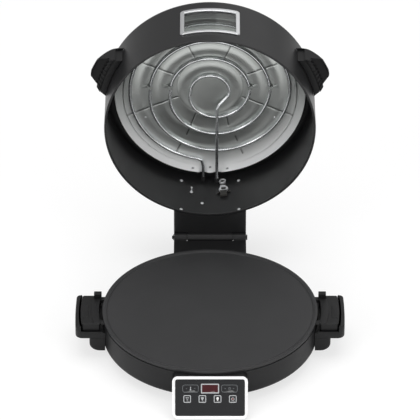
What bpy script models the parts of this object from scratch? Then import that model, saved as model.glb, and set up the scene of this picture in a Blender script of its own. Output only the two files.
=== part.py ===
"""Countertop pizza oven: a round base with a baking pan, and a deep lid hinged at the back.

Metres, +Z up. The origin is the middle of the baking surface. The control panel is at -Y and
the hinge at +Y. The lid stands open on its stop, 88 degrees back from closed.
"""
from math import asin, atan2, cos, pi, radians, sin

import bmesh
import bpy
from mathutils import Vector

# Fits and facets
GAP = 0.0003
PIN_GAP = 0.0001
WELD = 0.00001
OVERRUN = 0.030
SEGMENTS = 72
SMALL_SEGMENTS = 20
SCREW_SEGMENTS = 12
POST_SEGMENTS = 10
CORNER_STEPS = 3
EDGE_STEPS = 2
TUBE_ROUNDNESS = 1
SHARP_ANGLE = radians(40)

# Baking pan
RIM_RADIUS = 0.160
RIM_RISE = 0.0012
RIM_WIDTH = 0.0030
RIM_SLOPE = 0.0038
RIM_EDGE = 0.0008
PAN_THICKNESS = 0.0040

# Base shell, bottom cover and feet
BASE_DEPTH = 0.0386
BASE_SHEET = 0.0008
BASE_CORNER = 0.0100
FLANGE_WIDTH = 0.0250
COVER_INSET = 0.0070
COVER_RADIUS = RIM_RADIUS - BASE_CORNER - COVER_INSET
FOOT_RADIUS = 0.0060
FOOT_TAPER = 0.0010
FOOT_HEIGHT = 0.0100
FOOT_INSET = 0.0095
FOOT_CIRCLE = COVER_RADIUS - FOOT_INSET
FRONT_FOOT_ANGLE = radians(54)
REAR_FOOT_ANGLE = radians(66)

# Lower reflector, element and sensor
LOWER_REFLECTOR_SHEET = 0.0006
LOWER_REFLECTOR_FLANGE = 0.0180
LOWER_REFLECTOR_SLOPE = 0.0080
LOWER_REFLECTOR_DEPTH = 0.0220
LOWER_TUBE_RADIUS = 0.0035
LOWER_RING_MARGIN = 0.0600
LOWER_RING_RADIUS = RIM_RADIUS - LOWER_RING_MARGIN
LOWER_RING_BEND = 0.0120
LOWER_RING_POINTS = 32
LEAD_SPACING = 0.0260
LEAD_HOLE_GAP = 0.0005
TERMINAL_WIDTH = 0.0420
TERMINAL_DEPTH = 0.0160
TERMINAL_HEIGHT = 0.0100
TERMINAL_LEAD_DEPTH = 0.0070
SENSOR_RADIUS = 0.0090
SENSOR_CAP_HEIGHT = 0.0040
SENSOR_STEM_RADIUS = 0.0040
SENSOR_FLANGE_RADIUS = 0.0130
SENSOR_FLANGE_HEIGHT = 0.0012

# Pan handles and base handles
HANDLE_SLOT = 0.0037
PAN_HANDLE_REACH = 0.0325
PAN_HANDLE_WIDTH = 0.0752
PAN_HANDLE_HEIGHT = 0.0140
PAN_HANDLE_CORNER = 0.0040
PAN_HANDLE_LUG = 0.0090
PAN_HANDLE_LUG_DROP = 0.0036
PAN_TAB_WIDTH = 0.0076
PAN_TAB_REACH = 0.0105
PAN_TAB_RISE = 0.0070
HANDLE_REACH = 0.0400
HANDLE_WIDTH = 0.0830
HANDLE_SHELL = 0.0030
HANDLE_SHELL_DROP = 0.0126
HANDLE_RIM_DROP = 0.0022
HANDLE_FLOOR_DROP = 0.0250
HANDLE_CORNER = 0.0080
HANDLE_FOOT_REACH = 0.0195
HANDLE_FOOT_WIDTH = 0.0820
HANDLE_FOOT_DROP = 0.0470
HANDLE_FOOT_CORNER = 0.0120

# Hinge
HINGE_OFFSET = 0.0362
HINGE_BACK = RIM_RADIUS + HINGE_OFFSET
HINGE_DROP = 0.0024
HINGE_RADIUS = 0.0070
PIN_RADIUS = 0.0025
PIN_HEAD_RADIUS = 0.0042
PIN_HEAD_LENGTH = 0.0016
PIN_TAIL = 0.0030
CLIP_RADIUS = 0.0045
CLIP_THICKNESS = 0.0010
NECK_WIDTH = 0.1100
BARREL_WIDTH = 0.0700
BARREL_GAP = 0.0004
BRACKET_TOP_DROP = 0.0015
BRACKET_BOTTOM_DROP = 0.0360
BRACKET_BACK = 0.0010
KNUCKLE_CLEARANCE = 0.0006
OPEN_ANGLE = radians(88)

# Lid shell
MOUTH_HEIGHT = 0.0020
LID_INSET = 0.0012
LID_TAPER = 0.0004
LID_MOUTH_RADIUS = RIM_RADIUS - LID_INSET
LID_TOP_RADIUS = LID_MOUTH_RADIUS - LID_TAPER
LID_LIP_WIDTH = 0.0034
LID_HEM = 0.0020
LID_SHEET = 0.0006
LID_DEPTH = 0.1120
LID_CORNER = 0.0080
LID_DOME = 0.0030

# Lid arm
ARM_FOOT_RISE = 0.0035
ARM_BACK_PROUD = 0.0025
ARM_TOP_DROP = 0.0082
ARM_SLOPE_HEIGHT = 0.0590
ARM_TOP_HEIGHT = LID_DEPTH - ARM_TOP_DROP
ARM_BACK_HEIGHT = ARM_TOP_HEIGHT - ARM_SLOPE_HEIGHT
ARM_TOP_DEPTH = 0.0120
ARM_WALL = 0.0025
ARM_EDGE = 0.0030

# Upper reflector and element
REFLECTOR_DROP = 0.0168
REFLECTOR_MARGIN = 0.0134
REFLECTOR_HEIGHT = LID_DEPTH - REFLECTOR_DROP
REFLECTOR_RADIUS = LID_TOP_RADIUS - REFLECTOR_MARGIN
REFLECTOR_RIM = 0.0130
REFLECTOR_RIM_RISE = 0.0015
REFLECTOR_SKIRT_FLARE = 0.0015
REFLECTOR_SHEET = 0.0005
TUBE_RADIUS = 0.0025
RING_MARGIN = 0.0235
INNER_RING_RADIUS = 0.0294
RING_TURNS = 3
RING_RADIUS = REFLECTOR_RADIUS - RING_MARGIN
RING_PITCH = (RING_RADIUS - INNER_RING_RADIUS) / RING_TURNS
RING_POINTS = 26
RING_FORWARD = 0.0062
RING_LEAD_IN = 0.0025
GAP_STEPS = 6
LEAD_OFFSET = 0.0105
LEAD_BEND = 0.0090
LEAD_THROUGH = 0.0050
CROSSOVER_DROP = 0.0056
CROSSOVER_LENGTH = 0.0290
BUSH_RADIUS = 0.0036
BUSH_LENGTH = 0.0070

# Clips and screws in the lid
CLIP_STRAP = 0.0008
CLIP_WIDTH = 0.0050
CLIP_FOOT = 0.0090
CLIP_SIDE_GAP = 0.0017
CLIP_HOOK = 0.0060
CLIP_FORWARD = 0.0148
SCREW_RADIUS = 0.0026
SCREW_HEIGHT = 0.0016
SCREW_CROWN_SHARE = 0.6
REFLECTOR_SCREW_RADIUS = 0.0018
REFLECTOR_SCREW_HEIGHT = 0.0012
REFLECTOR_SCREW_SHARES = [(2.16, 0.341), (0.386, -0.290)]
WALL_SCREW_SHARES = [(-0.80, 0.786), (0.80, 0.786), (-0.80, 0.053), (0.80, 0.053),
                     (-0.52, 0.541), (-0.22, 0.287)]
THERMOSTAT_OFFSET = 0.0200
THERMOSTAT_DROP = 0.0112
THERMOSTAT_RADIUS = 0.0062
THERMOSTAT_THICKNESS = 0.0060
THERMOSTAT_PLATE_WIDTH = 0.0130
THERMOSTAT_PLATE_LENGTH = 0.0360
THERMOSTAT_PLATE_SHEET = 0.0010
THERMOSTAT_BLOCK_DROP = 0.0180
THERMOSTAT_BLOCK_HEIGHT = 0.0110
THERMOSTAT_BLOCK_DEPTH = 0.0080
THERMOSTAT_HEIGHT = REFLECTOR_HEIGHT - THERMOSTAT_DROP
THERMOSTAT_PLATE_HIGH = THERMOSTAT_HEIGHT - THERMOSTAT_PLATE_SHEET
THERMOSTAT_PLATE_LOW = THERMOSTAT_PLATE_HIGH - THERMOSTAT_PLATE_LENGTH
THERMOSTAT_BLOCK_HIGH = THERMOSTAT_PLATE_HIGH - THERMOSTAT_BLOCK_DROP

# Window in the front of the lid
WINDOW_WIDTH = 0.0890
WINDOW_HEIGHT = 0.0651
WINDOW_DROP = 0.0260
WINDOW_HIGH = LID_DEPTH - WINDOW_DROP
WINDOW_LOW = WINDOW_HIGH - WINDOW_HEIGHT
WINDOW_BAR = 0.0060
WINDOW_CORNER = 0.0050
WINDOW_FRAME_THICKNESS = 0.0022
GLASS_OVERLAP = 0.0025
GLASS_THICKNESS = 0.0025

# Lid handles. A profile's shares are of the reach out from the lid and of the grip's height, and a
# cut's are of the reach and of the grip's front, seen from above with the lid closed.
GRIP_REACH = 0.0341
GRIP_FRONT = 0.0930
GRIP_DROP = 0.0310
GRIP_HEIGHT = 0.0328
GRIP_TOP = LID_DEPTH - GRIP_DROP
GRIP_BOTTOM = GRIP_TOP - GRIP_HEIGHT
GRIP_ROOT_SHARE = 0.32
GRIP_TOP_SKIN = 0.0020
GRIP_OUTER_SHARES = [(0.387, 0.924), (0.485, 0.848), (0.64, 0.665), (0.818, 0.39), (1, 0.055)]
GRIP_POCKET_SHARES = [(0.91, 0), (0.741, 0.335), (0.574, 0.592), (0.467, 0.70)]
GRIP_REAR_SHARES = [(0.607, 0.694), (0.20, 0.516), (0.185, 0.387), (-0.068, 0.305)]
MOUNT_INSET = 0.0030
MOUNT_REAR_SHARES = [(0.289, 0.581), (0.14, 0.527), (-0.098, 0.355)]

# Control box and panel, measured on the sloping face
PANEL_LEAN = radians(33.5)
PANEL_OFFSET = 0.02225
PANEL_FORWARD = RIM_RADIUS + PANEL_OFFSET
PANEL_DROP = 0.0300
PANEL_WIDTH = 0.1100
PANEL_HEIGHT = 0.0620
PANEL_CORNER = 0.0060
BEZEL_BAR = 0.0043
BEZEL_THICKNESS = 0.0020
FASCIA_MARGIN = 0.0024
FASCIA_THICKNESS = 0.0020
BOX_WALL = 0.0020
BOX_TOE = 0.0012
BOX_BACK_WALL = 0.0012
BOX_CORNER = 0.0050
BOARD_THICKNESS = 0.0016
BOARD_STANDOFF = 0.0030
BOARD_MARGIN = 0.0050
BOARD_HEIGHT = 0.0410
BOARD_SHIFT = 0.0015
POST_RADIUS = 0.0020
POST_INSET = 0.0050
KEY_SIZE = 0.0112
KEY_CORNER = 0.0020
KEY_PITCH = 0.0221
KEY_COUNT = 4
KEY_DROP = 0.0019
KEY_PROUD = 0.0004
KEY_FLANGE = 0.0010
KEY_FLANGE_THICKNESS = 0.0010
PILL_WIDTH = 0.0236
PILL_HEIGHT = 0.0113
PILL_CORNER = 0.0030
PILL_OFFSET = 0.0283
PILL_BACK = 0.0003
DISPLAY_WIDTH = 0.0267
DISPLAY_HEIGHT = 0.0144
DISPLAY_CORNER = 0.0015
DISPLAY_RISE = 0.0132

# Cord gland, low on the back of the base
GLAND_ANGLE = radians(55)
GLAND_DROP = 0.0250
GLAND_RADIUS = 0.0065
GLAND_BORE = 0.0035
GLAND_NECK = 0.0050
GLAND_FLANGE_RADIUS = 0.0090
GLAND_FLANGE = 0.0020
GLAND_LENGTH = 0.0100
GLAND_INSIDE = 0.0030
GLAND_END_SHARE = 0.8

# Places worked out from the sizes above
RIM_TOP = RIM_RISE
PAN_BOTTOM = -PAN_THICKNESS
BASE_TOP = PAN_BOTTOM - GAP
WALL_BOTTOM = RIM_TOP - BASE_DEPTH
BASE_BOTTOM = WALL_BOTTOM - BASE_CORNER
COVER_TOP = BASE_BOTTOM - GAP
COVER_BOTTOM = COVER_TOP - BASE_SHEET
FOOT_TOP = COVER_BOTTOM - GAP
HINGE = Vector((0, HINGE_BACK, RIM_TOP - HINGE_DROP))
LID_CENTRE = Vector((0, 0, RIM_TOP + MOUTH_HEIGHT)) - HINGE
PANEL_CENTRE = Vector((0, -PANEL_FORWARD, RIM_TOP - PANEL_DROP))
SIDE_OUTLINE = (pi / 2, 0, pi / 2)
FRONT_OUTLINE = (pi / 2, 0, 0)
NO_TURN = (0, 0, 0)


def clear_scene():
    for thing in list(bpy.data.objects):
        bpy.data.objects.remove(thing, do_unlink=True)


def new_collection(name):
    collection = bpy.data.collections.new(name)
    bpy.context.scene.collection.children.link(collection)
    return collection


clear_scene()
OVEN = new_collection("pizza_oven")
GUIDES = new_collection("cutters")


def finish(name, colour, roughness, metallic, alpha=1):
    material = bpy.data.materials.new(name)
    material.use_nodes = True
    shader = material.node_tree.nodes["Principled BSDF"]
    shader.inputs["Base Color"].default_value = (*colour, 1)
    shader.inputs["Roughness"].default_value = roughness
    shader.inputs["Metallic"].default_value = metallic
    shader.inputs["Alpha"].default_value = alpha
    return material


BLACK_PAINT = finish("black_paint", (0.040, 0.041, 0.042), 0.45, 0)
DARK_PAINT = finish("dark_paint", (0.022, 0.022, 0.023), 0.55, 0)
NONSTICK = finish("nonstick_coating", (0.050, 0.050, 0.052), 0.55, 0)
BLACK_PLASTIC = finish("black_plastic", (0.020, 0.020, 0.021), 0.45, 0)
GLOSS_BLACK = finish("gloss_black", (0.028, 0.029, 0.031), 0.20, 0)
KEY_FILM = finish("key_film", (0.035, 0.036, 0.038), 0.30, 0)
SILVER_TRIM = finish("silver_trim", (0.80, 0.80, 0.81), 0.30, 1)
REFLECTOR_METAL = finish("reflector_metal", (0.50, 0.52, 0.51), 0.30, 1)
ELEMENT_METAL = finish("element_metal", (0.30, 0.31, 0.30), 0.35, 1)
STEEL = finish("zinc_steel", (0.45, 0.45, 0.46), 0.35, 1)
CERAMIC = finish("ceramic", (0.75, 0.73, 0.68), 0.60, 0)
RUBBER = finish("rubber", (0.015, 0.015, 0.015), 0.80, 0)
BOARD_GREEN = finish("board_green", (0.02, 0.12, 0.04), 0.50, 0)
WINDOW_GLASS = finish("window_glass", (0.60, 0.62, 0.61), 0.05, 0, 0.35)
DISPLAY_RED = finish("display_red", (0.09, 0.012, 0.014), 0.15, 0)


def empty(name, place, turn=NO_TURN):
    anchor = bpy.data.objects.new(name, None)
    OVEN.objects.link(anchor)
    anchor.location = place
    anchor.rotation_euler = turn
    return anchor


BASE = empty("base_centre", (0, 0, 0))
LID = empty("lid_hinge_axis", HINGE, (-OPEN_ANGLE, 0, 0))
PANEL = empty("panel_centre", PANEL_CENTRE, (pi / 2 - PANEL_LEAN, 0, 0))


def add(name, data, material, parent=BASE, place=(0, 0, 0), turn=NO_TURN):
    """Put a piece, or a cutter where there is no material, under its parent."""
    thing = bpy.data.objects.new(name, data)
    thing.parent = parent
    thing.location = place
    thing.rotation_euler = turn
    if material:
        OVEN.objects.link(thing)
        data.materials.append(material)
    else:
        GUIDES.objects.link(thing)
        thing.hide_render = True
        thing.display_type = "WIRE"
    return thing


def shade(mesh):
    """Smooth but for the edges that are sharper than the facets of a round piece."""
    mesh.shade_smooth()
    mesh.set_sharp_from_angle(angle=SHARP_ANGLE)


def evaluated_mesh(holder):
    """The mesh that a curve or a modifier makes of an object, which is then removed."""
    GUIDES.objects.link(holder)
    depsgraph = bpy.context.evaluated_depsgraph_get()
    mesh = bpy.data.meshes.new_from_object(holder.evaluated_get(depsgraph))
    bpy.data.objects.remove(holder)
    return mesh


def turned(name, material, profile, parent=BASE, place=(0, 0, 0), turn=NO_TURN, steps=SEGMENTS):
    """Spin a profile of radius and height about Z. It runs down its outer side."""
    closed = min(radius for radius, height in profile) > 0
    count = len(profile)
    edges = [(i, (i + 1) % count) for i in range(count if closed else count - 1)]
    mesh = bpy.data.meshes.new(name)
    mesh.from_pydata([(radius, 0, height) for radius, height in profile], edges, [])
    holder = bpy.data.objects.new(name, mesh)
    screw = holder.modifiers.new("turn", "SCREW")
    screw.steps = steps
    screw.render_steps = steps
    screw.use_merge_vertices = True
    screw.merge_threshold = WELD
    solid = evaluated_mesh(holder)
    shade(solid)
    return add(name, solid, material, parent, place, turn)


def outline_mesh(name, outlines, thickness):
    """Fill flat outlines, the later ones as holes, and give them a thickness."""
    curve = bpy.data.curves.new(name, "CURVE")
    curve.dimensions = "2D"
    curve.fill_mode = "BOTH"
    curve.extrude = thickness / 2
    for outline in outlines:
        spline = curve.splines.new("POLY")
        spline.points.add(len(outline) - 1)
        for point, (across, along) in zip(spline.points, outline):
            point.co = (across, along, 0, 1)
        spline.use_cyclic_u = True
    mesh = evaluated_mesh(bpy.data.objects.new(name, curve))
    work = bmesh.new()
    work.from_mesh(mesh)
    bmesh.ops.remove_doubles(work, verts=work.verts, dist=WELD)
    bmesh.ops.recalc_face_normals(work, faces=work.faces)
    work.to_mesh(mesh)
    work.free()
    return mesh


def plate(name, material, outlines, thickness, parent=BASE, place=(0, 0, 0), turn=NO_TURN):
    mesh = outline_mesh(name, outlines, thickness)
    return add(name, mesh, material, parent, place, turn)


def cylinder(name, material, radius, length, parent=BASE, place=(0, 0, 0), turn=NO_TURN,
             steps=SMALL_SEGMENTS):
    mesh = bpy.data.meshes.new(name)
    work = bmesh.new()
    bmesh.ops.create_cone(work, cap_ends=True, segments=steps, radius1=radius,
                          radius2=radius, depth=length)
    work.to_mesh(mesh)
    work.free()
    shade(mesh)
    return add(name, mesh, material, parent, place, turn)


def box(name, material, size, parent=BASE, place=(0, 0, 0), turn=NO_TURN):
    mesh = bpy.data.meshes.new(name)
    work = bmesh.new()
    bmesh.ops.create_cube(work, size=1)
    bmesh.ops.scale(work, verts=work.verts, vec=size)
    work.to_mesh(mesh)
    work.free()
    return add(name, mesh, material, parent, place, turn)


def combine(thing, other, operation):
    step = thing.modifiers.new(operation.lower(), "BOOLEAN")
    step.operation = operation
    step.object = other


def bevel(thing, width):
    edge = thing.modifiers.new("edges", "BEVEL")
    edge.width = width
    edge.segments = EDGE_STEPS
    edge.limit_method = "ANGLE"
    edge.angle_limit = SHARP_ANGLE


def tube(name, material, points, radius, parent=BASE, place=(0, 0, 0)):
    curve = bpy.data.curves.new(name, "CURVE")
    curve.dimensions = "3D"
    curve.bevel_depth = radius
    curve.bevel_resolution = TUBE_ROUNDNESS
    curve.use_fill_caps = True
    spline = curve.splines.new("POLY")
    spline.points.add(len(points) - 1)
    for point, where in zip(spline.points, points):
        point.co = (*where, 1)
    return add(name, curve, material, parent, place)


def arc(centre, radius, start, end, steps=CORNER_STEPS):
    """Points on a circle from one angle to another, both ends included."""
    turn = (end - start) / steps
    return [(centre[0] + radius * cos(start + i * turn),
             centre[1] + radius * sin(start + i * turn)) for i in range(steps + 1)]


def rounded_rectangle(width, height, radius, steps=CORNER_STEPS):
    across = width / 2 - radius
    along = height / 2 - radius
    corners = [(across, along), (-across, along), (-across, -along), (across, -along)]
    points = []
    for i, corner in enumerate(corners):
        points += arc(corner, radius, i * pi / 2, (i + 1) * pi / 2, steps)
    return points


def moved(outline, across, along):
    return [(x + across, y + along) for x, y in outline]


def base_wall_cutter(name):
    """The round base, one gap larger, that everything hung on its wall is cut to."""
    return cylinder(name, None, RIM_RADIUS + GAP, 2 * OVERRUN + BASE_DEPTH, BASE,
                    (0, 0, -BASE_DEPTH / 2), steps=SEGMENTS)


def lid_wall_radius(height):
    share = height / (LID_DEPTH - LID_CORNER)
    return LID_MOUTH_RADIUS + (LID_TOP_RADIUS - LID_MOUTH_RADIUS) * share


def lid_wall_ring(name, material, inner, outer, low, high):
    """A ring that follows the lid's slightly tapered wall, by offsets from its outer face."""
    profile = [(lid_wall_radius(high) + outer, high), (lid_wall_radius(low) + outer, low),
               (lid_wall_radius(low) + inner, low), (lid_wall_radius(high) + inner, high)]
    return turned(name, material, profile, LID, LID_CENTRE)


def baking_pan():
    slope = RIM_RADIUS - RIM_WIDTH
    profile = [(0, 0), (slope - RIM_SLOPE, 0), (slope, RIM_TOP),
               (RIM_RADIUS - RIM_EDGE, RIM_TOP), (RIM_RADIUS, RIM_TOP - RIM_EDGE),
               (RIM_RADIUS, PAN_BOTTOM), (0, PAN_BOTTOM)]
    turned("baking_pan", NONSTICK, profile)


def gland_place(radius):
    return (radius * cos(GLAND_ANGLE), radius * sin(GLAND_ANGLE), RIM_TOP - GLAND_DROP)


def base_shell():
    corner = (RIM_RADIUS - BASE_CORNER, WALL_BOTTOM)
    inner = BASE_CORNER - BASE_SHEET
    flange = RIM_RADIUS - BASE_CORNER - FLANGE_WIDTH
    profile = [(RIM_RADIUS, BASE_TOP)]
    profile += arc(corner, BASE_CORNER, 0, -pi / 2)
    profile += [(flange, BASE_BOTTOM), (flange, BASE_BOTTOM + BASE_SHEET)]
    profile += arc(corner, inner, -pi / 2, 0)
    profile += [(RIM_RADIUS - BASE_SHEET, BASE_TOP)]
    shell = turned("base_shell", BLACK_PAINT, profile)
    hole = cylinder("gland_hole", None, GLAND_NECK + GAP, OVERRUN, BASE,
                    gland_place(RIM_RADIUS), (0, pi / 2, GLAND_ANGLE))
    combine(shell, hole, "DIFFERENCE")


def bottom_cover():
    profile = [(0, COVER_TOP), (COVER_RADIUS, COVER_TOP), (COVER_RADIUS, COVER_BOTTOM),
               (0, COVER_BOTTOM)]
    turned("bottom_cover", DARK_PAINT, profile)


def feet():
    places = [("front_left", -1, -1, FRONT_FOOT_ANGLE), ("front_right", 1, -1, FRONT_FOOT_ANGLE),
              ("rear_left", -1, 1, REAR_FOOT_ANGLE), ("rear_right", 1, 1, REAR_FOOT_ANGLE)]
    profile = [(0, 0), (FOOT_RADIUS, 0), (FOOT_RADIUS, -FOOT_HEIGHT + FOOT_TAPER),
               (FOOT_RADIUS - FOOT_TAPER, -FOOT_HEIGHT), (0, -FOOT_HEIGHT)]
    for name, side, end, angle in places:
        place = (side * FOOT_CIRCLE * cos(angle), end * FOOT_CIRCLE * sin(angle), FOOT_TOP)
        turned("foot_" + name, RUBBER, profile, BASE, place, steps=SMALL_SEGMENTS)


def lower_reflector_floor():
    return RIM_TOP - LOWER_REFLECTOR_DEPTH


def lower_element_path():
    """An open ring against the pan, whose two ends turn inwards and then down."""
    height = PAN_BOTTOM - GAP - LOWER_TUBE_RADIUS
    half_lead = LEAD_SPACING / 2
    start = pi / 2 - atan2(half_lead + LOWER_RING_BEND, LOWER_RING_RADIUS)
    bend_centre = -(LOWER_RING_RADIUS * sin(start) - LOWER_RING_BEND)
    ring = arc((0, 0), LOWER_RING_RADIUS, -start, start + pi, LOWER_RING_POINTS)
    points = [(x, y, height) for x, y in ring]
    drop = LOWER_RING_BEND / 2
    end = lower_reflector_floor() - LOWER_REFLECTOR_SHEET - GAP - TERMINAL_LEAD_DEPTH
    tail = [(half_lead, bend_centre + drop, height),
            (half_lead, bend_centre + 2 * drop, height - drop / 2),
            (half_lead, bend_centre + 2 * drop, end)]
    left = [(-x, y, z) for x, y, z in tail]
    return tail[::-1] + points + left, bend_centre + 2 * drop


def lower_heating():
    path, lead_y = lower_element_path()
    tube("lower_heating_element", ELEMENT_METAL, path, LOWER_TUBE_RADIUS)
    top = BASE_TOP
    floor = lower_reflector_floor()
    outer = RIM_RADIUS - BASE_SHEET - GAP
    shoulder = outer - LOWER_REFLECTOR_FLANGE
    foot = shoulder - LOWER_REFLECTOR_SLOPE
    sheet = LOWER_REFLECTOR_SHEET
    profile = [(0, floor), (foot, floor), (shoulder, top), (outer, top), (outer, top - sheet),
               (shoulder + sheet, top - sheet), (foot + sheet, floor - sheet),
               (0, floor - sheet)]
    reflector = turned("lower_reflector", REFLECTOR_METAL, profile)
    block_top = floor - sheet - GAP
    block = box("lower_terminal_block", CERAMIC, (TERMINAL_WIDTH, TERMINAL_DEPTH, TERMINAL_HEIGHT),
                BASE, (0, lead_y, block_top - TERMINAL_HEIGHT / 2))
    for name, side in (("left", -1), ("right", 1)):
        hole = cylinder("lead_hole_" + name, None, LOWER_TUBE_RADIUS + LEAD_HOLE_GAP, OVERRUN,
                        BASE, (side * LEAD_SPACING / 2, lead_y, floor))
        combine(reflector, hole, "DIFFERENCE")
        combine(block, hole, "DIFFERENCE")


def pan_sensor():
    """A sprung temperature sensor that stands on the reflector and touches the pan."""
    low = lower_reflector_floor() + GAP
    high = PAN_BOTTOM - GAP
    profile = [(0, high), (SENSOR_RADIUS, high), (SENSOR_RADIUS, high - SENSOR_CAP_HEIGHT),
               (SENSOR_STEM_RADIUS, high - SENSOR_CAP_HEIGHT),
               (SENSOR_STEM_RADIUS, low + SENSOR_FLANGE_HEIGHT),
               (SENSOR_FLANGE_RADIUS, low + SENSOR_FLANGE_HEIGHT), (SENSOR_FLANGE_RADIUS, low),
               (0, low)]
    turned("pan_sensor", STEEL, profile, steps=SMALL_SEGMENTS)


def pan_handle(name, side):
    """A solid grip with two lugs to the pan's edge and a raised tab at its rear corner."""
    near = RIM_RADIUS + HANDLE_SLOT
    far = RIM_RADIUS + PAN_HANDLE_REACH
    middle = side * (near + far) / 2
    body_outline = rounded_rectangle(far - near, PAN_HANDLE_WIDTH, PAN_HANDLE_CORNER)
    body = plate("pan_handle_" + name, BLACK_PLASTIC, [body_outline], PAN_HANDLE_HEIGHT, BASE,
                 (middle, 0, RIM_TOP - PAN_HANDLE_HEIGHT / 2))
    lug_top = RIM_TOP - PAN_HANDLE_LUG_DROP / 3
    lug_height = PAN_HANDLE_LUG_DROP
    lug_length = HANDLE_SLOT + PAN_HANDLE_CORNER + PAN_HANDLE_LUG
    lug_y = (PAN_HANDLE_WIDTH - PAN_HANDLE_LUG) / 2 - PAN_HANDLE_CORNER / 2
    for end in (-1, 1):
        lug = box("pan_lug_guide", None, (lug_length, PAN_HANDLE_LUG, lug_height), BASE,
                  (side * (near + PAN_HANDLE_CORNER - lug_length / 2), end * lug_y,
                   lug_top - lug_height / 2))
        combine(body, lug, "UNION")
    tab_height = PAN_TAB_RISE + PAN_HANDLE_HEIGHT / 2
    tab = box("pan_tab_guide", None, (PAN_TAB_REACH, PAN_TAB_WIDTH, tab_height), BASE,
              (side * (near - GAP + PAN_TAB_REACH / 2), (PAN_HANDLE_WIDTH - PAN_TAB_WIDTH) / 2 - GAP,
               RIM_TOP + PAN_TAB_RISE - tab_height / 2))
    combine(body, tab, "UNION")
    combine(body, base_wall_cutter("pan_handle_wall"), "DIFFERENCE")


def base_handle(name, side):
    """A cup with a high outer wall that holds the pan's handle, on a foot down the base wall."""
    far = RIM_RADIUS + HANDLE_REACH
    near = RIM_RADIUS - HANDLE_CORNER
    top = RIM_TOP - HANDLE_SHELL_DROP
    bottom = RIM_TOP - HANDLE_FLOOR_DROP
    rim = RIM_TOP - HANDLE_RIM_DROP
    outline = rounded_rectangle(far - near, HANDLE_WIDTH, HANDLE_CORNER)
    cup = plate("base_handle_" + name, BLACK_PLASTIC, [outline], rim - bottom, BASE,
                (side * (near + far) / 2, 0, (rim + bottom) / 2))
    foot_bottom = RIM_TOP - HANDLE_FOOT_DROP
    foot_far = RIM_RADIUS + HANDLE_FOOT_REACH
    overlap = HANDLE_SHELL / 2
    round_centre = (foot_far - HANDLE_FOOT_CORNER, foot_bottom + HANDLE_FOOT_CORNER)
    section = [(foot_far, bottom + overlap), (near, bottom + overlap), (near, foot_bottom)]
    section += arc(round_centre, HANDLE_FOOT_CORNER, -pi / 2, 0, 2 * CORNER_STEPS)
    foot = plate("handle_foot_guide", None, [[(side * x, z) for x, z in section]],
                 HANDLE_FOOT_WIDTH, BASE, turn=FRONT_OUTLINE)
    combine(cup, foot, "UNION")
    pocket_far = RIM_RADIUS + PAN_HANDLE_REACH + GAP
    pocket_near = near - HANDLE_CORNER
    pocket_bottom = RIM_TOP - PAN_HANDLE_HEIGHT - GAP
    pocket_height = OVERRUN
    pocket = box("handle_pocket_guide", None,
                 (pocket_far - pocket_near, PAN_HANDLE_WIDTH + 2 * GAP, pocket_height), BASE,
                 (side * (pocket_far + pocket_near) / 2, 0, pocket_bottom + pocket_height / 2))
    combine(cup, pocket, "DIFFERENCE")
    step = box("handle_step_guide", None,
               (pocket_far - pocket_near, HANDLE_WIDTH + OVERRUN, pocket_height), BASE,
               (side * (pocket_far + pocket_near) / 2, 0, top + pocket_height / 2))
    combine(cup, step, "DIFFERENCE")
    combine(cup, base_wall_cutter("base_handle_wall"), "DIFFERENCE")


def hinge_bracket():
    """A block behind the base, rounded round the pin at both ends and hollowed for the barrel."""
    top = HINGE.z - BRACKET_TOP_DROP
    bottom = HINGE.z - BRACKET_BOTTOM_DROP
    front = RIM_RADIUS - BASE_CORNER
    back = HINGE_BACK - BRACKET_BACK
    meet = pi + asin(BRACKET_TOP_DROP / HINGE_RADIUS)
    outline = [(front, top), (front, bottom), (back, bottom)]
    outline += arc((HINGE.y, HINGE.z), HINGE_RADIUS, -pi / 2, meet, SMALL_SEGMENTS // 2)
    block = plate("hinge_bracket", DARK_PAINT, [outline], NECK_WIDTH, BASE, turn=SIDE_OUTLINE)
    combine(block, base_wall_cutter("bracket_wall"), "DIFFERENCE")
    sweep = cylinder("barrel_sweep", None, HINGE_RADIUS + KNUCKLE_CLEARANCE,
                     BARREL_WIDTH + 2 * BARREL_GAP, BASE, HINGE, (0, pi / 2, 0))
    combine(block, sweep, "DIFFERENCE")
    bore = cylinder("bracket_bore", None, PIN_RADIUS + PIN_GAP, NECK_WIDTH + OVERRUN, BASE, HINGE,
                    (0, pi / 2, 0))
    combine(block, bore, "DIFFERENCE")


def hinge_pin():
    half = NECK_WIDTH / 2
    profile = [(0, half + GAP + PIN_HEAD_LENGTH), (PIN_HEAD_RADIUS, half + GAP + PIN_HEAD_LENGTH),
               (PIN_HEAD_RADIUS, half + GAP), (PIN_RADIUS, half + GAP),
               (PIN_RADIUS, -half - PIN_TAIL), (0, -half - PIN_TAIL)]
    turned("hinge_pin", STEEL, profile, BASE, HINGE, (0, pi / 2, 0), SMALL_SEGMENTS)
    low = -half - GAP - CLIP_THICKNESS
    ring = [(CLIP_RADIUS, -half - GAP), (CLIP_RADIUS, low), (PIN_RADIUS + PIN_GAP, low),
            (PIN_RADIUS + PIN_GAP, -half - GAP)]
    turned("hinge_pin_clip", STEEL, ring, BASE, HINGE, (0, pi / 2, 0), SMALL_SEGMENTS)


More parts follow.
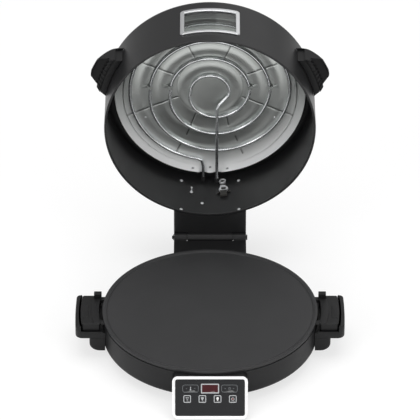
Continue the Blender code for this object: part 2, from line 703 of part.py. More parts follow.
def lid_shell():
    top = LID_DEPTH
    corner = (LID_TOP_RADIUS - LID_CORNER, top - LID_CORNER)
    lip = LID_MOUTH_RADIUS - LID_LIP_WIDTH
    profile = [(0, top + LID_DOME)]
    profile += arc(corner, LID_CORNER, pi / 2, 0)
    profile += [(LID_MOUTH_RADIUS, 0), (lip, 0), (lip, LID_HEM),
                (lid_wall_radius(LID_HEM) - LID_SHEET, LID_HEM)]
    profile += arc(corner, LID_CORNER - LID_SHEET, 0, pi / 2)
    profile += [(0, top + LID_DOME - LID_SHEET)]
    shell = turned("lid_shell", BLACK_PAINT, profile, LID, LID_CENTRE)
    combine(shell, window_prism("window_hole", WINDOW_BAR - GLASS_OVERLAP), "DIFFERENCE")
    for name, side, height in lead_places():
        place = LID_CENTRE + Vector((side * LEAD_OFFSET, LID_TOP_RADIUS, height))
        hole = cylinder("lead_wall_hole_" + name, None, TUBE_RADIUS + LEAD_HOLE_GAP, OVERRUN, LID,
                        place, (pi / 2, 0, 0))
        combine(shell, hole, "DIFFERENCE")


def window_prism(name, inset):
    """A block through the front of the lid, smaller than the frame by an inset all round."""
    width = WINDOW_WIDTH - 2 * inset
    height = WINDOW_HIGH - WINDOW_LOW - 2 * inset
    corner = max(WINDOW_CORNER - inset / 2, GAP)
    outline = moved(rounded_rectangle(width, height, corner), 0, (WINDOW_LOW + WINDOW_HIGH) / 2)
    place = LID_CENTRE + Vector((0, -LID_TOP_RADIUS, 0))
    return plate(name, None, [outline], 2 * OVERRUN, LID, place, FRONT_OUTLINE)


def window():
    low = WINDOW_LOW - WINDOW_BAR
    high = WINDOW_HIGH + WINDOW_BAR
    frame = lid_wall_ring("window_frame", SILVER_TRIM, GAP, GAP + WINDOW_FRAME_THICKNESS, low, high)
    combine(frame, window_prism("window_frame_edge", 0), "INTERSECT")
    combine(frame, window_prism("window_frame_hole", WINDOW_BAR), "DIFFERENCE")
    glass = lid_wall_ring("window_glass", WINDOW_GLASS, -GLASS_THICKNESS, 0, low, high)
    inset = WINDOW_BAR - GLASS_OVERLAP + GAP
    combine(glass, window_prism("window_glass_edge", inset), "INTERSECT")


def lid_arm():
    """The hollow neck behind the lid, with the barrel that turns on the pin."""
    wall = LID_TOP_RADIUS - HINGE_BACK - 2 * LID_CORNER
    mouth = LID_CENTRE.z
    foot = ARM_FOOT_RISE
    crest = mouth + ARM_TOP_HEIGHT
    edge = LID_TOP_RADIUS + ARM_TOP_DEPTH - HINGE_BACK
    back = HINGE_RADIUS + ARM_BACK_PROUD
    outline = [(wall, foot), (back, foot), (back, mouth + ARM_BACK_HEIGHT), (edge, crest),
               (wall, crest)]
    arm = plate("lid_arm", DARK_PAINT, [outline], NECK_WIDTH, LID, turn=SIDE_OUTLINE)
    bevel(arm, ARM_EDGE)
    sheet = ARM_WALL
    front = wall - LID_CORNER
    clear = HINGE_RADIUS + 2 * sheet
    hollow = [(front, foot + sheet), (-clear, foot + sheet), (0, clear), (back - sheet, clear),
              (back - sheet, mouth + ARM_BACK_HEIGHT - sheet),
              (edge - sheet, crest - sheet), (front, crest - sheet)]
    cavity = plate("arm_cavity", None, [hollow], NECK_WIDTH - 2 * sheet, LID, turn=SIDE_OUTLINE)
    combine(arm, cavity, "DIFFERENCE")
    top = mouth + LID_DEPTH + OVERRUN
    wall_profile = [(0, top), (LID_TOP_RADIUS + GAP, top),
                    (LID_TOP_RADIUS + GAP, LID_DEPTH - LID_CORNER),
                    (LID_MOUTH_RADIUS + GAP, 0), (LID_MOUTH_RADIUS + GAP, -OVERRUN),
                    (0, -OVERRUN)]
    combine(arm, turned("arm_wall", None, wall_profile, LID, LID_CENTRE), "DIFFERENCE")
    side_width = OVERRUN
    for side in (-1, 1):
        place = (side * (BARREL_WIDTH + side_width) / 2, 0, 0)
        sweep = cylinder("knuckle_sweep", None, HINGE_RADIUS + KNUCKLE_CLEARANCE, side_width, LID,
                         place, (0, pi / 2, 0))
        combine(arm, sweep, "DIFFERENCE")
    barrel = cylinder("barrel_guide", None, HINGE_RADIUS, BARREL_WIDTH - 2 * GAP, LID, (0, 0, 0),
                      (0, pi / 2, 0))
    combine(arm, barrel, "UNION")
    bore = cylinder("barrel_bore", None, PIN_RADIUS + PIN_GAP, NECK_WIDTH + OVERRUN, LID,
                    (0, 0, 0), (0, pi / 2, 0))
    combine(arm, bore, "DIFFERENCE")


def upper_reflector():
    """A pressed disc with a raised rim and a skirt that stands on the inside of the lid's top."""
    face = REFLECTOR_HEIGHT
    rim = face + REFLECTOR_RIM_RISE
    sheet = REFLECTOR_SHEET
    step = REFLECTOR_RADIUS - REFLECTOR_RIM
    top = LID_DEPTH - LID_SHEET - GAP
    skirt = REFLECTOR_RADIUS + REFLECTOR_SKIRT_FLARE
    profile = [(0, face + sheet), (step - REFLECTOR_RIM_RISE, face + sheet), (step, rim + sheet),
               (REFLECTOR_RADIUS - sheet, rim + sheet), (skirt - sheet, top), (skirt, top),
               (REFLECTOR_RADIUS, rim), (step, rim), (step - REFLECTOR_RIM_RISE, face), (0, face)]
    turned("upper_reflector", REFLECTOR_METAL, profile, LID, LID_CENTRE)


def element_height():
    return REFLECTOR_HEIGHT - GAP - TUBE_RADIUS


def lead_places():
    high = element_height()
    return [("left", -1, high), ("right", 1, high - CROSSOVER_DROP)]


def smooth_share(share):
    return share * share * (3 - 2 * share)


def upper_element_path():
    """Half circles joined at the back by half turns that step in, then a lead that crosses them.

    Each turn keeps its radius round the front of the lid and loses one pitch round the back.
    """
    high = element_height()
    low = high - CROSSOVER_DROP
    end = -(LID_TOP_RADIUS + LEAD_THROUGH)
    first = atan2(-RING_RADIUS, -LEAD_OFFSET - LEAD_BEND) + 2 * pi
    points = [(-LEAD_OFFSET, end, high), (-LEAD_OFFSET, -RING_RADIUS - LEAD_BEND, high),
              (-LEAD_OFFSET - LEAD_BEND / 4, -RING_RADIUS - LEAD_BEND / 2 + RING_FORWARD, high)]
    count = RING_POINTS
    start_quarter = count // 4
    for i in range(start_quarter):
        share = i / start_quarter
        angle = first + (pi - first) * share
        radius = RING_RADIUS + RING_LEAD_IN * (1 - share)
        points.append((radius * cos(angle), radius * sin(angle) + RING_FORWARD, high))
    radius = RING_RADIUS
    for turn in range(RING_TURNS + 1):
        half = count // 2
        for i in range(half):
            angle = pi - pi * i / half
            points.append((radius * cos(angle), radius * sin(angle) + RING_FORWARD, high))
        if turn < RING_TURNS:
            for i in range(half):
                step = radius - RING_PITCH * i / half
                angle = -pi * i / half
                points.append((step * cos(angle), step * sin(angle) + RING_FORWARD, high))
            radius -= RING_PITCH
    steps = start_quarter
    for i in range(steps + 1):
        share = i / steps
        ease = smooth_share(share)
        points.append((radius + (LEAD_OFFSET - radius) * ease,
                       RING_FORWARD - CROSSOVER_LENGTH * share, high + (low - high) * ease))
    points.append((LEAD_OFFSET, end, low))
    return [(x, -forward, z) for x, forward, z in points]


def least_gap(points, radius):
    """The smallest clear distance between stretches of one tube a third of a turn or more apart."""
    least = RING_PITCH
    dense = []
    for a, b in zip(points, points[1:]):
        dense += [Vector(a).lerp(Vector(b), i / GAP_STEPS) for i in range(GAP_STEPS)]
    apart = GAP_STEPS * (RING_POINTS // 3)
    for i, here in enumerate(dense):
        for there in dense[i + apart:]:
            least = min(least, (there - here).length - 2 * radius)
    return least


def upper_heating():
    path = upper_element_path()
    print("upper heating element, least gap to itself:", round(least_gap(path, TUBE_RADIUS), 5), "m")
    tube("upper_heating_element", ELEMENT_METAL, path, TUBE_RADIUS, LID, LID_CENTRE)
    bore = TUBE_RADIUS + LEAD_HOLE_GAP
    for name, side, height in lead_places():
        face = (LID_TOP_RADIUS ** 2 - (LEAD_OFFSET + BUSH_RADIUS) ** 2) ** 0.5 - LID_SHEET - GAP
        ring = [(BUSH_RADIUS, BUSH_LENGTH), (BUSH_RADIUS, 0), (bore, 0), (bore, BUSH_LENGTH)]
        place = LID_CENTRE + Vector((side * LEAD_OFFSET, face, height))
        turned("element_bush_" + name, RUBBER, ring, LID, place, (pi / 2, 0, 0), SMALL_SEGMENTS)


def element_clips():
    """Straps beside the two middle rings, hooked under the tube."""
    top = REFLECTOR_HEIGHT - GAP
    low = element_height() - TUBE_RADIUS - GAP
    strap = CLIP_STRAP
    near = TUBE_RADIUS + CLIP_SIDE_GAP
    outline = [(near + CLIP_FOOT, top), (near + CLIP_FOOT, top - strap), (near + strap, top - strap),
               (near + strap, low - strap), (near - CLIP_HOOK, low - strap),
               (near - CLIP_HOOK, low), (near, low), (near, top)]
    names = ["inner", "outer"]
    for side, label in ((-1, "left"), (1, "right")):
        for number, turn in enumerate((2, 1)):
            ring = RING_RADIUS - turn * RING_PITCH
            rise = CLIP_FORWARD - RING_FORWARD
            across = (ring ** 2 - rise ** 2) ** 0.5
            shape = [(side * (x + across), z) for x, z in outline]
            plate("element_clip_" + label + "_" + names[number], STEEL, [shape], CLIP_WIDTH, LID,
                  LID_CENTRE + Vector((0, -CLIP_FORWARD, 0)), FRONT_OUTLINE)


def screw_profile(radius, height):
    return [(0, height), (radius * SCREW_CROWN_SHARE, height), (radius, height / 2), (radius, 0),
            (0, 0)]


def reflector_screws():
    profile = screw_profile(REFLECTOR_SCREW_RADIUS, REFLECTOR_SCREW_HEIGHT)
    names = ["front", "rear"]
    for side, label in ((-1, "left"), (1, "right")):
        for name, (turns, quarters) in zip(names, REFLECTOR_SCREW_SHARES):
            radius = RING_RADIUS - turns * RING_PITCH
            angle = quarters * pi / 2
            place = LID_CENTRE + Vector((side * radius * cos(angle),
                                         -RING_FORWARD - radius * sin(angle),
                                         REFLECTOR_HEIGHT - GAP))
            turned("reflector_screw_" + name + "_" + label, STEEL, profile, LID, place, (pi, 0, 0),
                   SCREW_SEGMENTS)


def wall_screws():
    """Screws on the inside of the lid's back wall, square to the wall where they stand."""
    profile = screw_profile(SCREW_RADIUS, SCREW_HEIGHT)
    for number, (out, up) in enumerate(WALL_SCREW_SHARES):
        across = out * NECK_WIDTH / 2
        height = up * ARM_TOP_HEIGHT
        radius = (lid_wall_radius(height) - LID_SHEET - GAP) * cos(pi / SEGMENTS) - GAP
        angle = atan2((radius ** 2 - across ** 2) ** 0.5, across)
        place = LID_CENTRE + Vector((radius * cos(angle), radius * sin(angle), height))
        turned("wall_screw_%d" % (number + 1), STEEL, profile, LID, place,
               (0, -pi / 2, angle), SCREW_SEGMENTS)


def lid_thermostat():
    """A bracket on the lid's back wall that carries a block and a round thermostat."""
    wall = (lid_wall_radius(THERMOSTAT_PLATE_HIGH) - LID_SHEET - GAP) * cos(pi / SEGMENTS)
    reach = THERMOSTAT_OFFSET + THERMOSTAT_PLATE_WIDTH / 2
    face = (wall ** 2 - reach ** 2) ** 0.5
    plate_height = THERMOSTAT_PLATE_LENGTH
    sheet = THERMOSTAT_PLATE_SHEET
    middle = (THERMOSTAT_PLATE_HIGH + THERMOSTAT_PLATE_LOW) / 2
    bracket = box("lid_thermostat", STEEL, (THERMOSTAT_PLATE_WIDTH, sheet, plate_height), LID,
                  LID_CENTRE + Vector((THERMOSTAT_OFFSET, face - sheet / 2, middle)))
    block_height = THERMOSTAT_BLOCK_HEIGHT
    block_middle = THERMOSTAT_BLOCK_HIGH - block_height / 2
    depth = THERMOSTAT_BLOCK_DEPTH
    block = box("thermostat_block", None, (THERMOSTAT_PLATE_WIDTH - sheet, depth, block_height),
                LID, LID_CENTRE + Vector((THERMOSTAT_OFFSET, face - depth / 2 - sheet / 2,
                                          block_middle)))
    combine(bracket, block, "UNION")
    disc = cylinder("thermostat_disc", None, THERMOSTAT_RADIUS - sheet / 2, THERMOSTAT_THICKNESS,
                    LID, LID_CENTRE + Vector((THERMOSTAT_OFFSET,
                                              face - THERMOSTAT_THICKNESS / 2 - sheet / 2,
                                              THERMOSTAT_HEIGHT)), (pi / 2, 0, 0))
    combine(bracket, disc, "UNION")


def grip_points(shares):
    return [(LID_MOUTH_RADIUS + GRIP_REACH * out, GRIP_BOTTOM + GRIP_HEIGHT * up)
            for out, up in shares]


def cut_points(shares):
    return [(LID_MOUTH_RADIUS + GRIP_REACH * out, GRIP_FRONT * forward)
            for out, forward in shares]


def lid_handle(name, side):
    """A curved grip with a finger pocket under it, cut from a ring round the lid."""
    outer = grip_points(GRIP_OUTER_SHARES)
    pocket = grip_points(GRIP_POCKET_SHARES)
    rear = cut_points(GRIP_REAR_SHARES)
    root = LID_MOUTH_RADIUS + GRIP_REACH * GRIP_ROOT_SHARE
    skin_low = GRIP_TOP - GRIP_TOP_SKIN
    root_top = outer[0][1] - GRIP_TOP_SKIN / 2
    profile = [(lid_wall_radius(GRIP_TOP) + GAP, GRIP_TOP)] + outer
    profile += [(outer[-1][0], GRIP_BOTTOM)] + pocket
    profile += [(pocket[-1][0], GRIP_BOTTOM), (root, GRIP_BOTTOM), (root, root_top),
                (lid_wall_radius(skin_low) + GAP, skin_low)]
    grip = turned("lid_handle_" + name, BLACK_PLASTIC, profile, LID, LID_CENTRE)
    far = outer[-1][0] + OVERRUN
    near = rear[-1][0] - OVERRUN * 2
    wedge = [(near, GRIP_FRONT), (far, GRIP_FRONT), (far, rear[0][1])]
    wedge += rear + [(near, rear[-1][1])]
    middle = (GRIP_TOP + GRIP_BOTTOM) / 2
    shape = [(side * x, -forward) for x, forward in wedge]
    edge = plate("grip_wedge_" + name, None, [shape], 2 * OVERRUN, LID,
                 LID_CENTRE + Vector((0, 0, middle)))
    combine(grip, edge, "INTERSECT")
    mount_top = root_top - GAP
    mount_bottom = GRIP_BOTTOM + MOUNT_INSET / 2
    ring = [(root - GAP, mount_top), (root - GAP, mount_bottom),
            (lid_wall_radius(mount_bottom) + GAP, mount_bottom),
            (lid_wall_radius(mount_top) + GAP, mount_top)]
    mount = turned("lid_handle_mount_" + name, BLACK_PLASTIC, ring, LID, LID_CENTRE)
    rear = cut_points(MOUNT_REAR_SHARES)
    inner = [(near, GRIP_FRONT - MOUNT_INSET), (far, GRIP_FRONT - MOUNT_INSET), (far, rear[0][1])]
    inner += rear + [(near, rear[-1][1])]
    shape = [(side * x, -forward) for x, forward in inner]
    edge = plate("mount_wedge_" + name, None, [shape], 2 * OVERRUN, LID,
                 LID_CENTRE + Vector((0, 0, middle)))
    combine(mount, edge, "INTERSECT")


def panel_point(along, out):
    """Y and Z of a place on the panel's middle line, up the panel and out of its face."""
    return (PANEL_CENTRE.y + along * sin(PANEL_LEAN) - out * cos(PANEL_LEAN),
            PANEL_CENTRE.z + along * cos(PANEL_LEAN) + out * sin(PANEL_LEAN))


def control_box():
    front = -BEZEL_THICKNESS - GAP
    half = PANEL_HEIGHT / 2
    top = panel_point(half, front)
    bottom = panel_point(-half, front)
    rear = -RIM_RADIUS + BOX_CORNER
    low = bottom[1] - BOX_TOE
    outline = [top, bottom, (bottom[0] + BOX_TOE, low), (rear, low), (rear, top[1])]
    shell = plate("control_box", BLACK_PLASTIC, [outline], PANEL_WIDTH, BASE, turn=SIDE_OUTLINE)
    combine(shell, base_wall_cutter("box_wall"), "DIFFERENCE")
    wall = BOX_WALL
    inner_top = panel_point(half - wall, front)
    inner_bottom = panel_point(-half + wall, front - FASCIA_THICKNESS - GAP)
    back = -RIM_RADIUS - BOX_BACK_WALL
    past_top = panel_point(half - wall, OVERRUN)
    past_bottom = panel_point(-half + wall, OVERRUN)
    hollow = [past_top, past_bottom, inner_bottom, (back, inner_bottom[1]),
              (back, inner_top[1] - GAP), inner_top]
    cavity = plate("box_cavity", None, [hollow], PANEL_WIDTH - 2 * wall, BASE, turn=SIDE_OUTLINE)
    combine(shell, cavity, "DIFFERENCE")


def control_panel():
    outer = rounded_rectangle(PANEL_WIDTH, PANEL_HEIGHT, PANEL_CORNER)
    hole = rounded_rectangle(PANEL_WIDTH - 2 * BEZEL_BAR, PANEL_HEIGHT - 2 * BEZEL_BAR,
                             PANEL_CORNER - BEZEL_BAR / 2)
    plate("panel_bezel", SILVER_TRIM, [outer, hole], BEZEL_THICKNESS, PANEL,
          (0, 0, -BEZEL_THICKNESS / 2))
    face = -BEZEL_THICKNESS - GAP
    width = PANEL_WIDTH - 2 * FASCIA_MARGIN
    height = PANEL_HEIGHT - 2 * FASCIA_MARGIN
    outlines = [rounded_rectangle(width, height, BEZEL_BAR - FASCIA_MARGIN)] + panel_cutouts()
    plate("panel_fascia", GLOSS_BLACK, outlines, FASCIA_THICKNESS, PANEL,
          (0, 0, face - FASCIA_THICKNESS / 2))
    back = face - FASCIA_THICKNESS
    board_top = back - BOARD_STANDOFF
    board_outline = rounded_rectangle(width - BOARD_MARGIN, BOARD_HEIGHT, POST_RADIUS)
    board = plate("control_board", BOARD_GREEN, [board_outline], BOARD_THICKNESS, PANEL,
                  (0, -BOARD_SHIFT, board_top - BOARD_THICKNESS / 2))
    post_length = BOARD_STANDOFF - GAP + BOARD_THICKNESS / 2
    for side in (-1, 1):
        for end in (-1, 1):
            place = (side * (width / 2 - POST_INSET),
                     end * (BOARD_HEIGHT / 2 - POST_INSET) - BOARD_SHIFT,
                     back - GAP - post_length / 2)
            post = cylinder("board_post", None, POST_RADIUS, post_length, PANEL, place,
                            steps=POST_SEGMENTS)
            combine(board, post, "UNION")
    window_outline = rounded_rectangle(DISPLAY_WIDTH, DISPLAY_HEIGHT, DISPLAY_CORNER)
    plate("display_window", DISPLAY_RED, [window_outline], FASCIA_THICKNESS + KEY_PROUD, PANEL,
          (0, DISPLAY_RISE, face + (KEY_PROUD - FASCIA_THICKNESS) / 2))
    keys(face)
    rockers(face)


def key_places():
    first = -KEY_PITCH * (KEY_COUNT - 1) / 2
    return [first + i * KEY_PITCH for i in range(KEY_COUNT)]


def panel_cutouts():
    """Each opening in the fascia, one gap larger than what fills it."""
    grow = 2 * GAP
    key = rounded_rectangle(KEY_SIZE + grow, KEY_SIZE + grow, KEY_CORNER + GAP)
    pill = rounded_rectangle(PILL_WIDTH + grow, PILL_HEIGHT + grow, PILL_CORNER + GAP)
    display = rounded_rectangle(DISPLAY_WIDTH + grow, DISPLAY_HEIGHT + grow, DISPLAY_CORNER + GAP)
    openings = [moved(key, across, -KEY_DROP) for across in key_places()]
    openings += [moved(pill, side * PILL_OFFSET, DISPLAY_RISE) for side in (-1, 1)]
    return openings + [moved(display, 0, DISPLAY_RISE)]


def keys(face):
    flange_middle = face - FASCIA_THICKNESS - GAP - KEY_FLANGE_THICKNESS / 2
    cap_top = face + KEY_PROUD
    cap = rounded_rectangle(KEY_SIZE, KEY_SIZE, KEY_CORNER)
    wide = KEY_SIZE + 2 * KEY_FLANGE
    flange = rounded_rectangle(wide, wide, KEY_CORNER)
    for number, across in enumerate(key_places()):
        key = plate("key_%d" % (number + 1), KEY_FILM, [cap], cap_top - flange_middle, PANEL,
                    (across, -KEY_DROP, (cap_top + flange_middle) / 2))
        base = plate("key_flange_guide", None, [flange], KEY_FLANGE_THICKNESS, PANEL,
                     (across, -KEY_DROP, flange_middle))
        combine(key, base, "UNION")


def rockers(face):
    back = face - FASCIA_THICKNESS - PILL_BACK
    top = face + KEY_PROUD
    pill = rounded_rectangle(PILL_WIDTH, PILL_HEIGHT, PILL_CORNER)
    for side, label in ((-1, "left"), (1, "right")):
        plate("rocker_" + label, KEY_FILM, [pill], top - back, PANEL,
              (side * PILL_OFFSET, DISPLAY_RISE, (top + back) / 2))


def cord_gland():
    """The sleeve that the mains lead would leave by, through the base wall."""
    start = RIM_RADIUS - GLAND_INSIDE
    flange_low = GLAND_INSIDE + GAP
    flange_high = flange_low + GLAND_FLANGE
    end = flange_low + GLAND_LENGTH
    profile = [(GLAND_RADIUS * GLAND_END_SHARE, end), (GLAND_RADIUS, flange_high),
               (GLAND_FLANGE_RADIUS, flange_high), (GLAND_FLANGE_RADIUS, flange_low),
               (GLAND_NECK, flange_low), (GLAND_NECK, 0), (GLAND_BORE, 0), (GLAND_BORE, end)]
    turned("cord_gland", BLACK_PLASTIC, profile, BASE, gland_place(start),
           (0, pi / 2, GLAND_ANGLE), SMALL_SEGMENTS)


def build():
    baking_pan()
    base_shell()
    bottom_cover()
    feet()
    lower_heating()
    pan_sensor()
    for name, side in (("left", -1), ("right", 1)):
        pan_handle(name, side)
        base_handle(name, side)
    hinge_bracket()
    hinge_pin()
    lid_shell()
    window()
    lid_arm()
    upper_reflector()
    upper_heating()
    element_clips()
    reflector_screws()
    wall_screws()
    lid_thermostat()
    for name, side in (("left", -1), ("right", 1)):
        lid_handle(name, side)
    control_box()
    control_panel()
    cord_gland()


build()
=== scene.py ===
import bmesh
import bpy
import numpy as np
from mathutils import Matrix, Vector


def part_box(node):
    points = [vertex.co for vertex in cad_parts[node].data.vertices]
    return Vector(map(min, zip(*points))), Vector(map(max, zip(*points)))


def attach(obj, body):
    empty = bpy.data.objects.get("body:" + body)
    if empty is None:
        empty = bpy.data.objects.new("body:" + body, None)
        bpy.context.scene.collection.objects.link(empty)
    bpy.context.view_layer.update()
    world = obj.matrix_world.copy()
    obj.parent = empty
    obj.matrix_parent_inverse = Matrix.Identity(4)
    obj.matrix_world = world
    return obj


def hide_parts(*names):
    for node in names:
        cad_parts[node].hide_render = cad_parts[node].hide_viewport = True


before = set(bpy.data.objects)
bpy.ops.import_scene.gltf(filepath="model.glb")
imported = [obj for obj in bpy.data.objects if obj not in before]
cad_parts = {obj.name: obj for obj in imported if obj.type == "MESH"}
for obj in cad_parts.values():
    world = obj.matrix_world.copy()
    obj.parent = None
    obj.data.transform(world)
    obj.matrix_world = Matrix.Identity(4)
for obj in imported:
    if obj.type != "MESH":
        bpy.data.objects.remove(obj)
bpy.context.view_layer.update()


# Baking pan. A disc of die-cast aluminium, 320 mm across, with a low sloping rim turned round it.
# It is sprayed with a dark non-stick coating, and lies loose on top of the base.
PAN_RADIUS = 0.160
PAN_RIM = 0.0012
PAN_SLOPE_TOP = 0.1570
PAN_SLOPE_FOOT = 0.1532
PAN_GROOVE = -0.0007
PAN_GROOVE_HALF = 0.0009
PAN_LIP = -0.0020
PAN_UNDERCUT = 0.1588
PAN_BOTTOM = -0.0040
WELD = 0.0000004
SHARP = np.radians(32)


def arc(radius, angle, middle=(0, 0)):
    """Points at radius * (cos a, sin a) from a middle."""
    return np.stack([radius * np.cos(angle), radius * np.sin(angle)], -1) + middle


def rounded(corners, radii, closed=False, steps=6):
    """A line whose corners become arcs, each of which meets its sides at r / tan(half the angle)."""
    corners = np.array(corners, float)
    radii = np.broadcast_to(radii, len(corners))
    line = []
    for i, (corner, radius) in enumerate(zip(corners, radii)):
        end = not closed and i in (0, len(corners) - 1)
        if end or radius <= 0:
            line.append(corner[None])
            continue
        back, on = corners[i - 1] - corner, corners[(i + 1) % len(corners)] - corner
        back, on = back / np.linalg.norm(back), on / np.linalg.norm(on)
        half = np.arccos(np.clip(back @ on, -1, 1)) / 2
        centre = corner + (back + on) / np.linalg.norm(back + on) * radius / np.sin(half)
        first, last = (corner + side * radius / np.tan(half) - centre for side in (back, on))
        start = np.arctan2(first[1], first[0])
        turn = (np.arctan2(last[1], last[0]) - start + np.pi) % (2 * np.pi) - np.pi
        angle = start + turn * np.linspace(0, 1, steps + 1)
        line.append(arc(radius, angle, centre))
    return np.concatenate(line)


def around(steps):
    """The angles of one full turn, in equal steps."""
    return np.linspace(0, 2 * np.pi, steps, endpoint=False)


def turned(profile, angle=around(256)):
    """A profile of radius and height carried round Z: x = r cos a, y = r sin a, z = h."""
    radius, height = np.array(profile, float).T
    return np.stack([np.outer(radius, np.cos(angle)), np.outer(radius, np.sin(angle)),
                     np.repeat(height[:, None], len(angle), 1)], -1)


def placed(name, mesh):
    """An object of a mesh that is smooth but for its sharp edges."""
    mesh.shade_smooth()
    mesh.set_sharp_from_angle(angle=SHARP)
    piece = bpy.data.objects.new(name, mesh)
    bpy.context.scene.collection.objects.link(piece)
    return piece


def mesh_piece(name, points, faces):
    """An object of welded faces that point outwards."""
    mesh = bpy.data.meshes.new(name)
    mesh.from_pydata(np.asarray(points).reshape(-1, 3).tolist(), [], faces)
    work = bmesh.new()
    work.from_mesh(mesh)
    bmesh.ops.remove_doubles(work, verts=work.verts, dist=WELD)
    bmesh.ops.dissolve_degenerate(work, edges=work.edges, dist=WELD)
    bmesh.ops.recalc_face_normals(work, faces=work.faces)
    work.to_mesh(mesh)
    work.free()
    return placed(name, mesh)


def grid_faces(rows, columns, ring=False, caps=False):
    """Quads between the rows of a grid whose rows close. A ring's last row meets its first."""
    index = np.arange(rows * columns).reshape(rows, columns)
    here = index if ring else index[:-1]
    above = np.roll(index, -1, 0) if ring else index[1:]
    quads = np.stack([here, np.roll(here, -1, 1), np.roll(above, -1, 1), above], -1)
    faces = quads.reshape(-1, 4).tolist()
    return faces + [index[0].tolist(), index[-1].tolist()] if caps else faces


def surface(name, points, ring=False, caps=False):
    """A piece from a grid of points, each row of which is a closed loop."""
    return mesh_piece(name, points, grid_faces(*points.shape[:2], ring=ring, caps=caps))


def linear(code):
    """A hex colour as it looks on a screen, turned into the linear values that shaders take."""
    value = np.array([int(code[i:i + 2], 16) for i in (1, 3, 5)]) / 255
    value = np.where(value <= 0.04045, value / 12.92, ((value + 0.055) / 1.055) ** 2.4)
    return (*value, 1)


def node(owner, kind, inputs=(), **settings):
    """Adds one shader node with its settings; an input is a value or another node's socket."""
    made = owner.node_tree.nodes.new("ShaderNode" + kind)
    for name, value in settings.items():
        setattr(made, name, value)
    for socket, value in dict(inputs).items():
        if isinstance(value, bpy.types.NodeSocket):
            owner.node_tree.links.new(value, made.inputs[socket])
        else:
            made.inputs[socket].default_value = value
    return made


def new_material(name, **sockets):
    """A material with one Principled shader, whose sockets are set by name."""
    material = bpy.data.materials.new(name)
    material.use_nodes = True
    shader = material.node_tree.nodes["Principled BSDF"]
    for socket, value in sockets.items():
        shader.inputs[socket.replace("_", " ")].default_value = value
    return material


def wire(material, out, socket):
    """Leads a node's output into one socket of the material's Principled shader."""
    shader = material.node_tree.nodes["Principled BSDF"]
    material.node_tree.links.new(out, shader.inputs[socket])


def mottled(material, one, other, size, detail):
    """The colour drifts between two tones, by noise whose clouds are this size in metres."""
    place = node(material, "TexCoord").outputs["Object"]
    cloud = node(material, "TexNoise", {"Vector": place, "Scale": 1 / size, "Detail": detail})
    tone = node(material, "MixRGB", {"Fac": cloud.outputs["Fac"], "Color1": linear(one),
                                     "Color2": linear(other)})
    wire(material, tone.outputs["Color"], "Base Color")


def grained(material, size, detail, strength, depth, drawn=None):
    """Noise of this grain size lifts the surface by strength times depth, as the light sees it.
    Where an axis is drawn by less than one, the grains run out into streaks."""
    place = node(material, "TexCoord").outputs["Object"]
    if drawn:
        place = node(material, "Mapping", {"Vector": place, "Scale": drawn}).outputs["Vector"]
    grain = node(material, "TexNoise", {"Vector": place, "Scale": 1 / size, "Detail": detail})
    bump = node(material, "Bump", {"Height": grain.outputs["Fac"], "Strength": strength,
                                   "Distance": depth})
    wire(material, bump.outputs["Normal"], "Normal")


def fit(piece, material, body, slot, *nodes):
    """Gives a piece its finish, its body and the solids that it stands for; its slot is not used."""
    piece.data.materials.clear()
    piece.data.materials.append(material)
    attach(piece, body)
    if nodes:
        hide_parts(*nodes)


# Sprayed PTFE over grit-blasted aluminium: a matt dark grey with a fine, slightly uneven grain.
# The grit is about 0.1 mm, and is drawn as 0.7 mm so that it shows.
nonstick = new_material("sprayed_nonstick_coating", Roughness=0.46, IOR=1.34)
mottled(nonstick, "#303031", "#363637", size=0.060, detail=2.0)
grained(nonstick, size=0.0007, detail=3.0, strength=0.25, depth=0.00006)

profile = rounded([(0, 0), (PAN_SLOPE_FOOT - PAN_GROOVE_HALF, 0), (PAN_SLOPE_FOOT, PAN_GROOVE),
                   (PAN_SLOPE_FOOT + PAN_GROOVE_HALF, 0.0002), (PAN_SLOPE_TOP - 0.0003, PAN_RIM),
                   (PAN_RADIUS, PAN_RIM), (PAN_RADIUS, PAN_LIP), (PAN_UNDERCUT, PAN_LIP - 0.0006),
                   (PAN_UNDERCUT, PAN_BOTTOM), (0, PAN_BOTTOM)],
                  [0, 0.0002, 0.0002, 0.0002, 0.0006, 0.0007, 0.0004, 0.0003, 0.0002, 0], steps=4)
fit(surface("pan_disc", turned(profile)), nonstick, "base", "nonstick", "baking_pan")


# Base shell. A drawn steel bowl, 0.8 mm thick, with a rounded foot and a flange turned inwards.
# It is powder coated in dark grey, and everything below the pan is fixed to it.
BASE_RADIUS = 0.160
BASE_TOP = -0.0043
BASE_FOOT = -0.0474
BASE_SHEET = 0.0008
BASE_CORNER = 0.0100
BASE_FLANGE = 0.1250


def smeared(material, low, high, size, detail):
    """The roughness drifts between two values, by noise whose clouds are this size in metres."""
    place = node(material, "TexCoord").outputs["Object"]
    cloud = node(material, "TexNoise", {"Vector": place, "Scale": 1 / size, "Detail": detail})
    rough = node(material, "MapRange", {"Value": cloud.outputs["Fac"], "To Min": low,
                                        "To Max": high})
    wire(material, rough.outputs["Result"], "Roughness")


# Powder coat bakes to a satin skin with a slight orange peel, about 1.5 mm from dimple to dimple.
powder = new_material("powder_coated_steel", IOR=1.34, Base_Color=linear("#1c1c1d"))
smeared(powder, 0.36, 0.48, size=0.045, detail=3.0)
grained(powder, size=0.0015, detail=1.0, strength=0.12, depth=0.00005)

profile = rounded([(BASE_RADIUS - BASE_SHEET, BASE_TOP), (BASE_RADIUS, BASE_TOP),
                   (BASE_RADIUS, BASE_FOOT), (BASE_FLANGE, BASE_FOOT),
                   (BASE_FLANGE, BASE_FOOT + BASE_SHEET),
                   (BASE_RADIUS - BASE_SHEET, BASE_FOOT + BASE_SHEET)],
                  [0.0002, 0.0005, BASE_CORNER, 0.0003, 0.0003, BASE_CORNER - BASE_SHEET],
                  closed=True, steps=8)
fit(surface("base_bowl", turned(profile), ring=True), powder, "base", "black_paint", "base_shell")


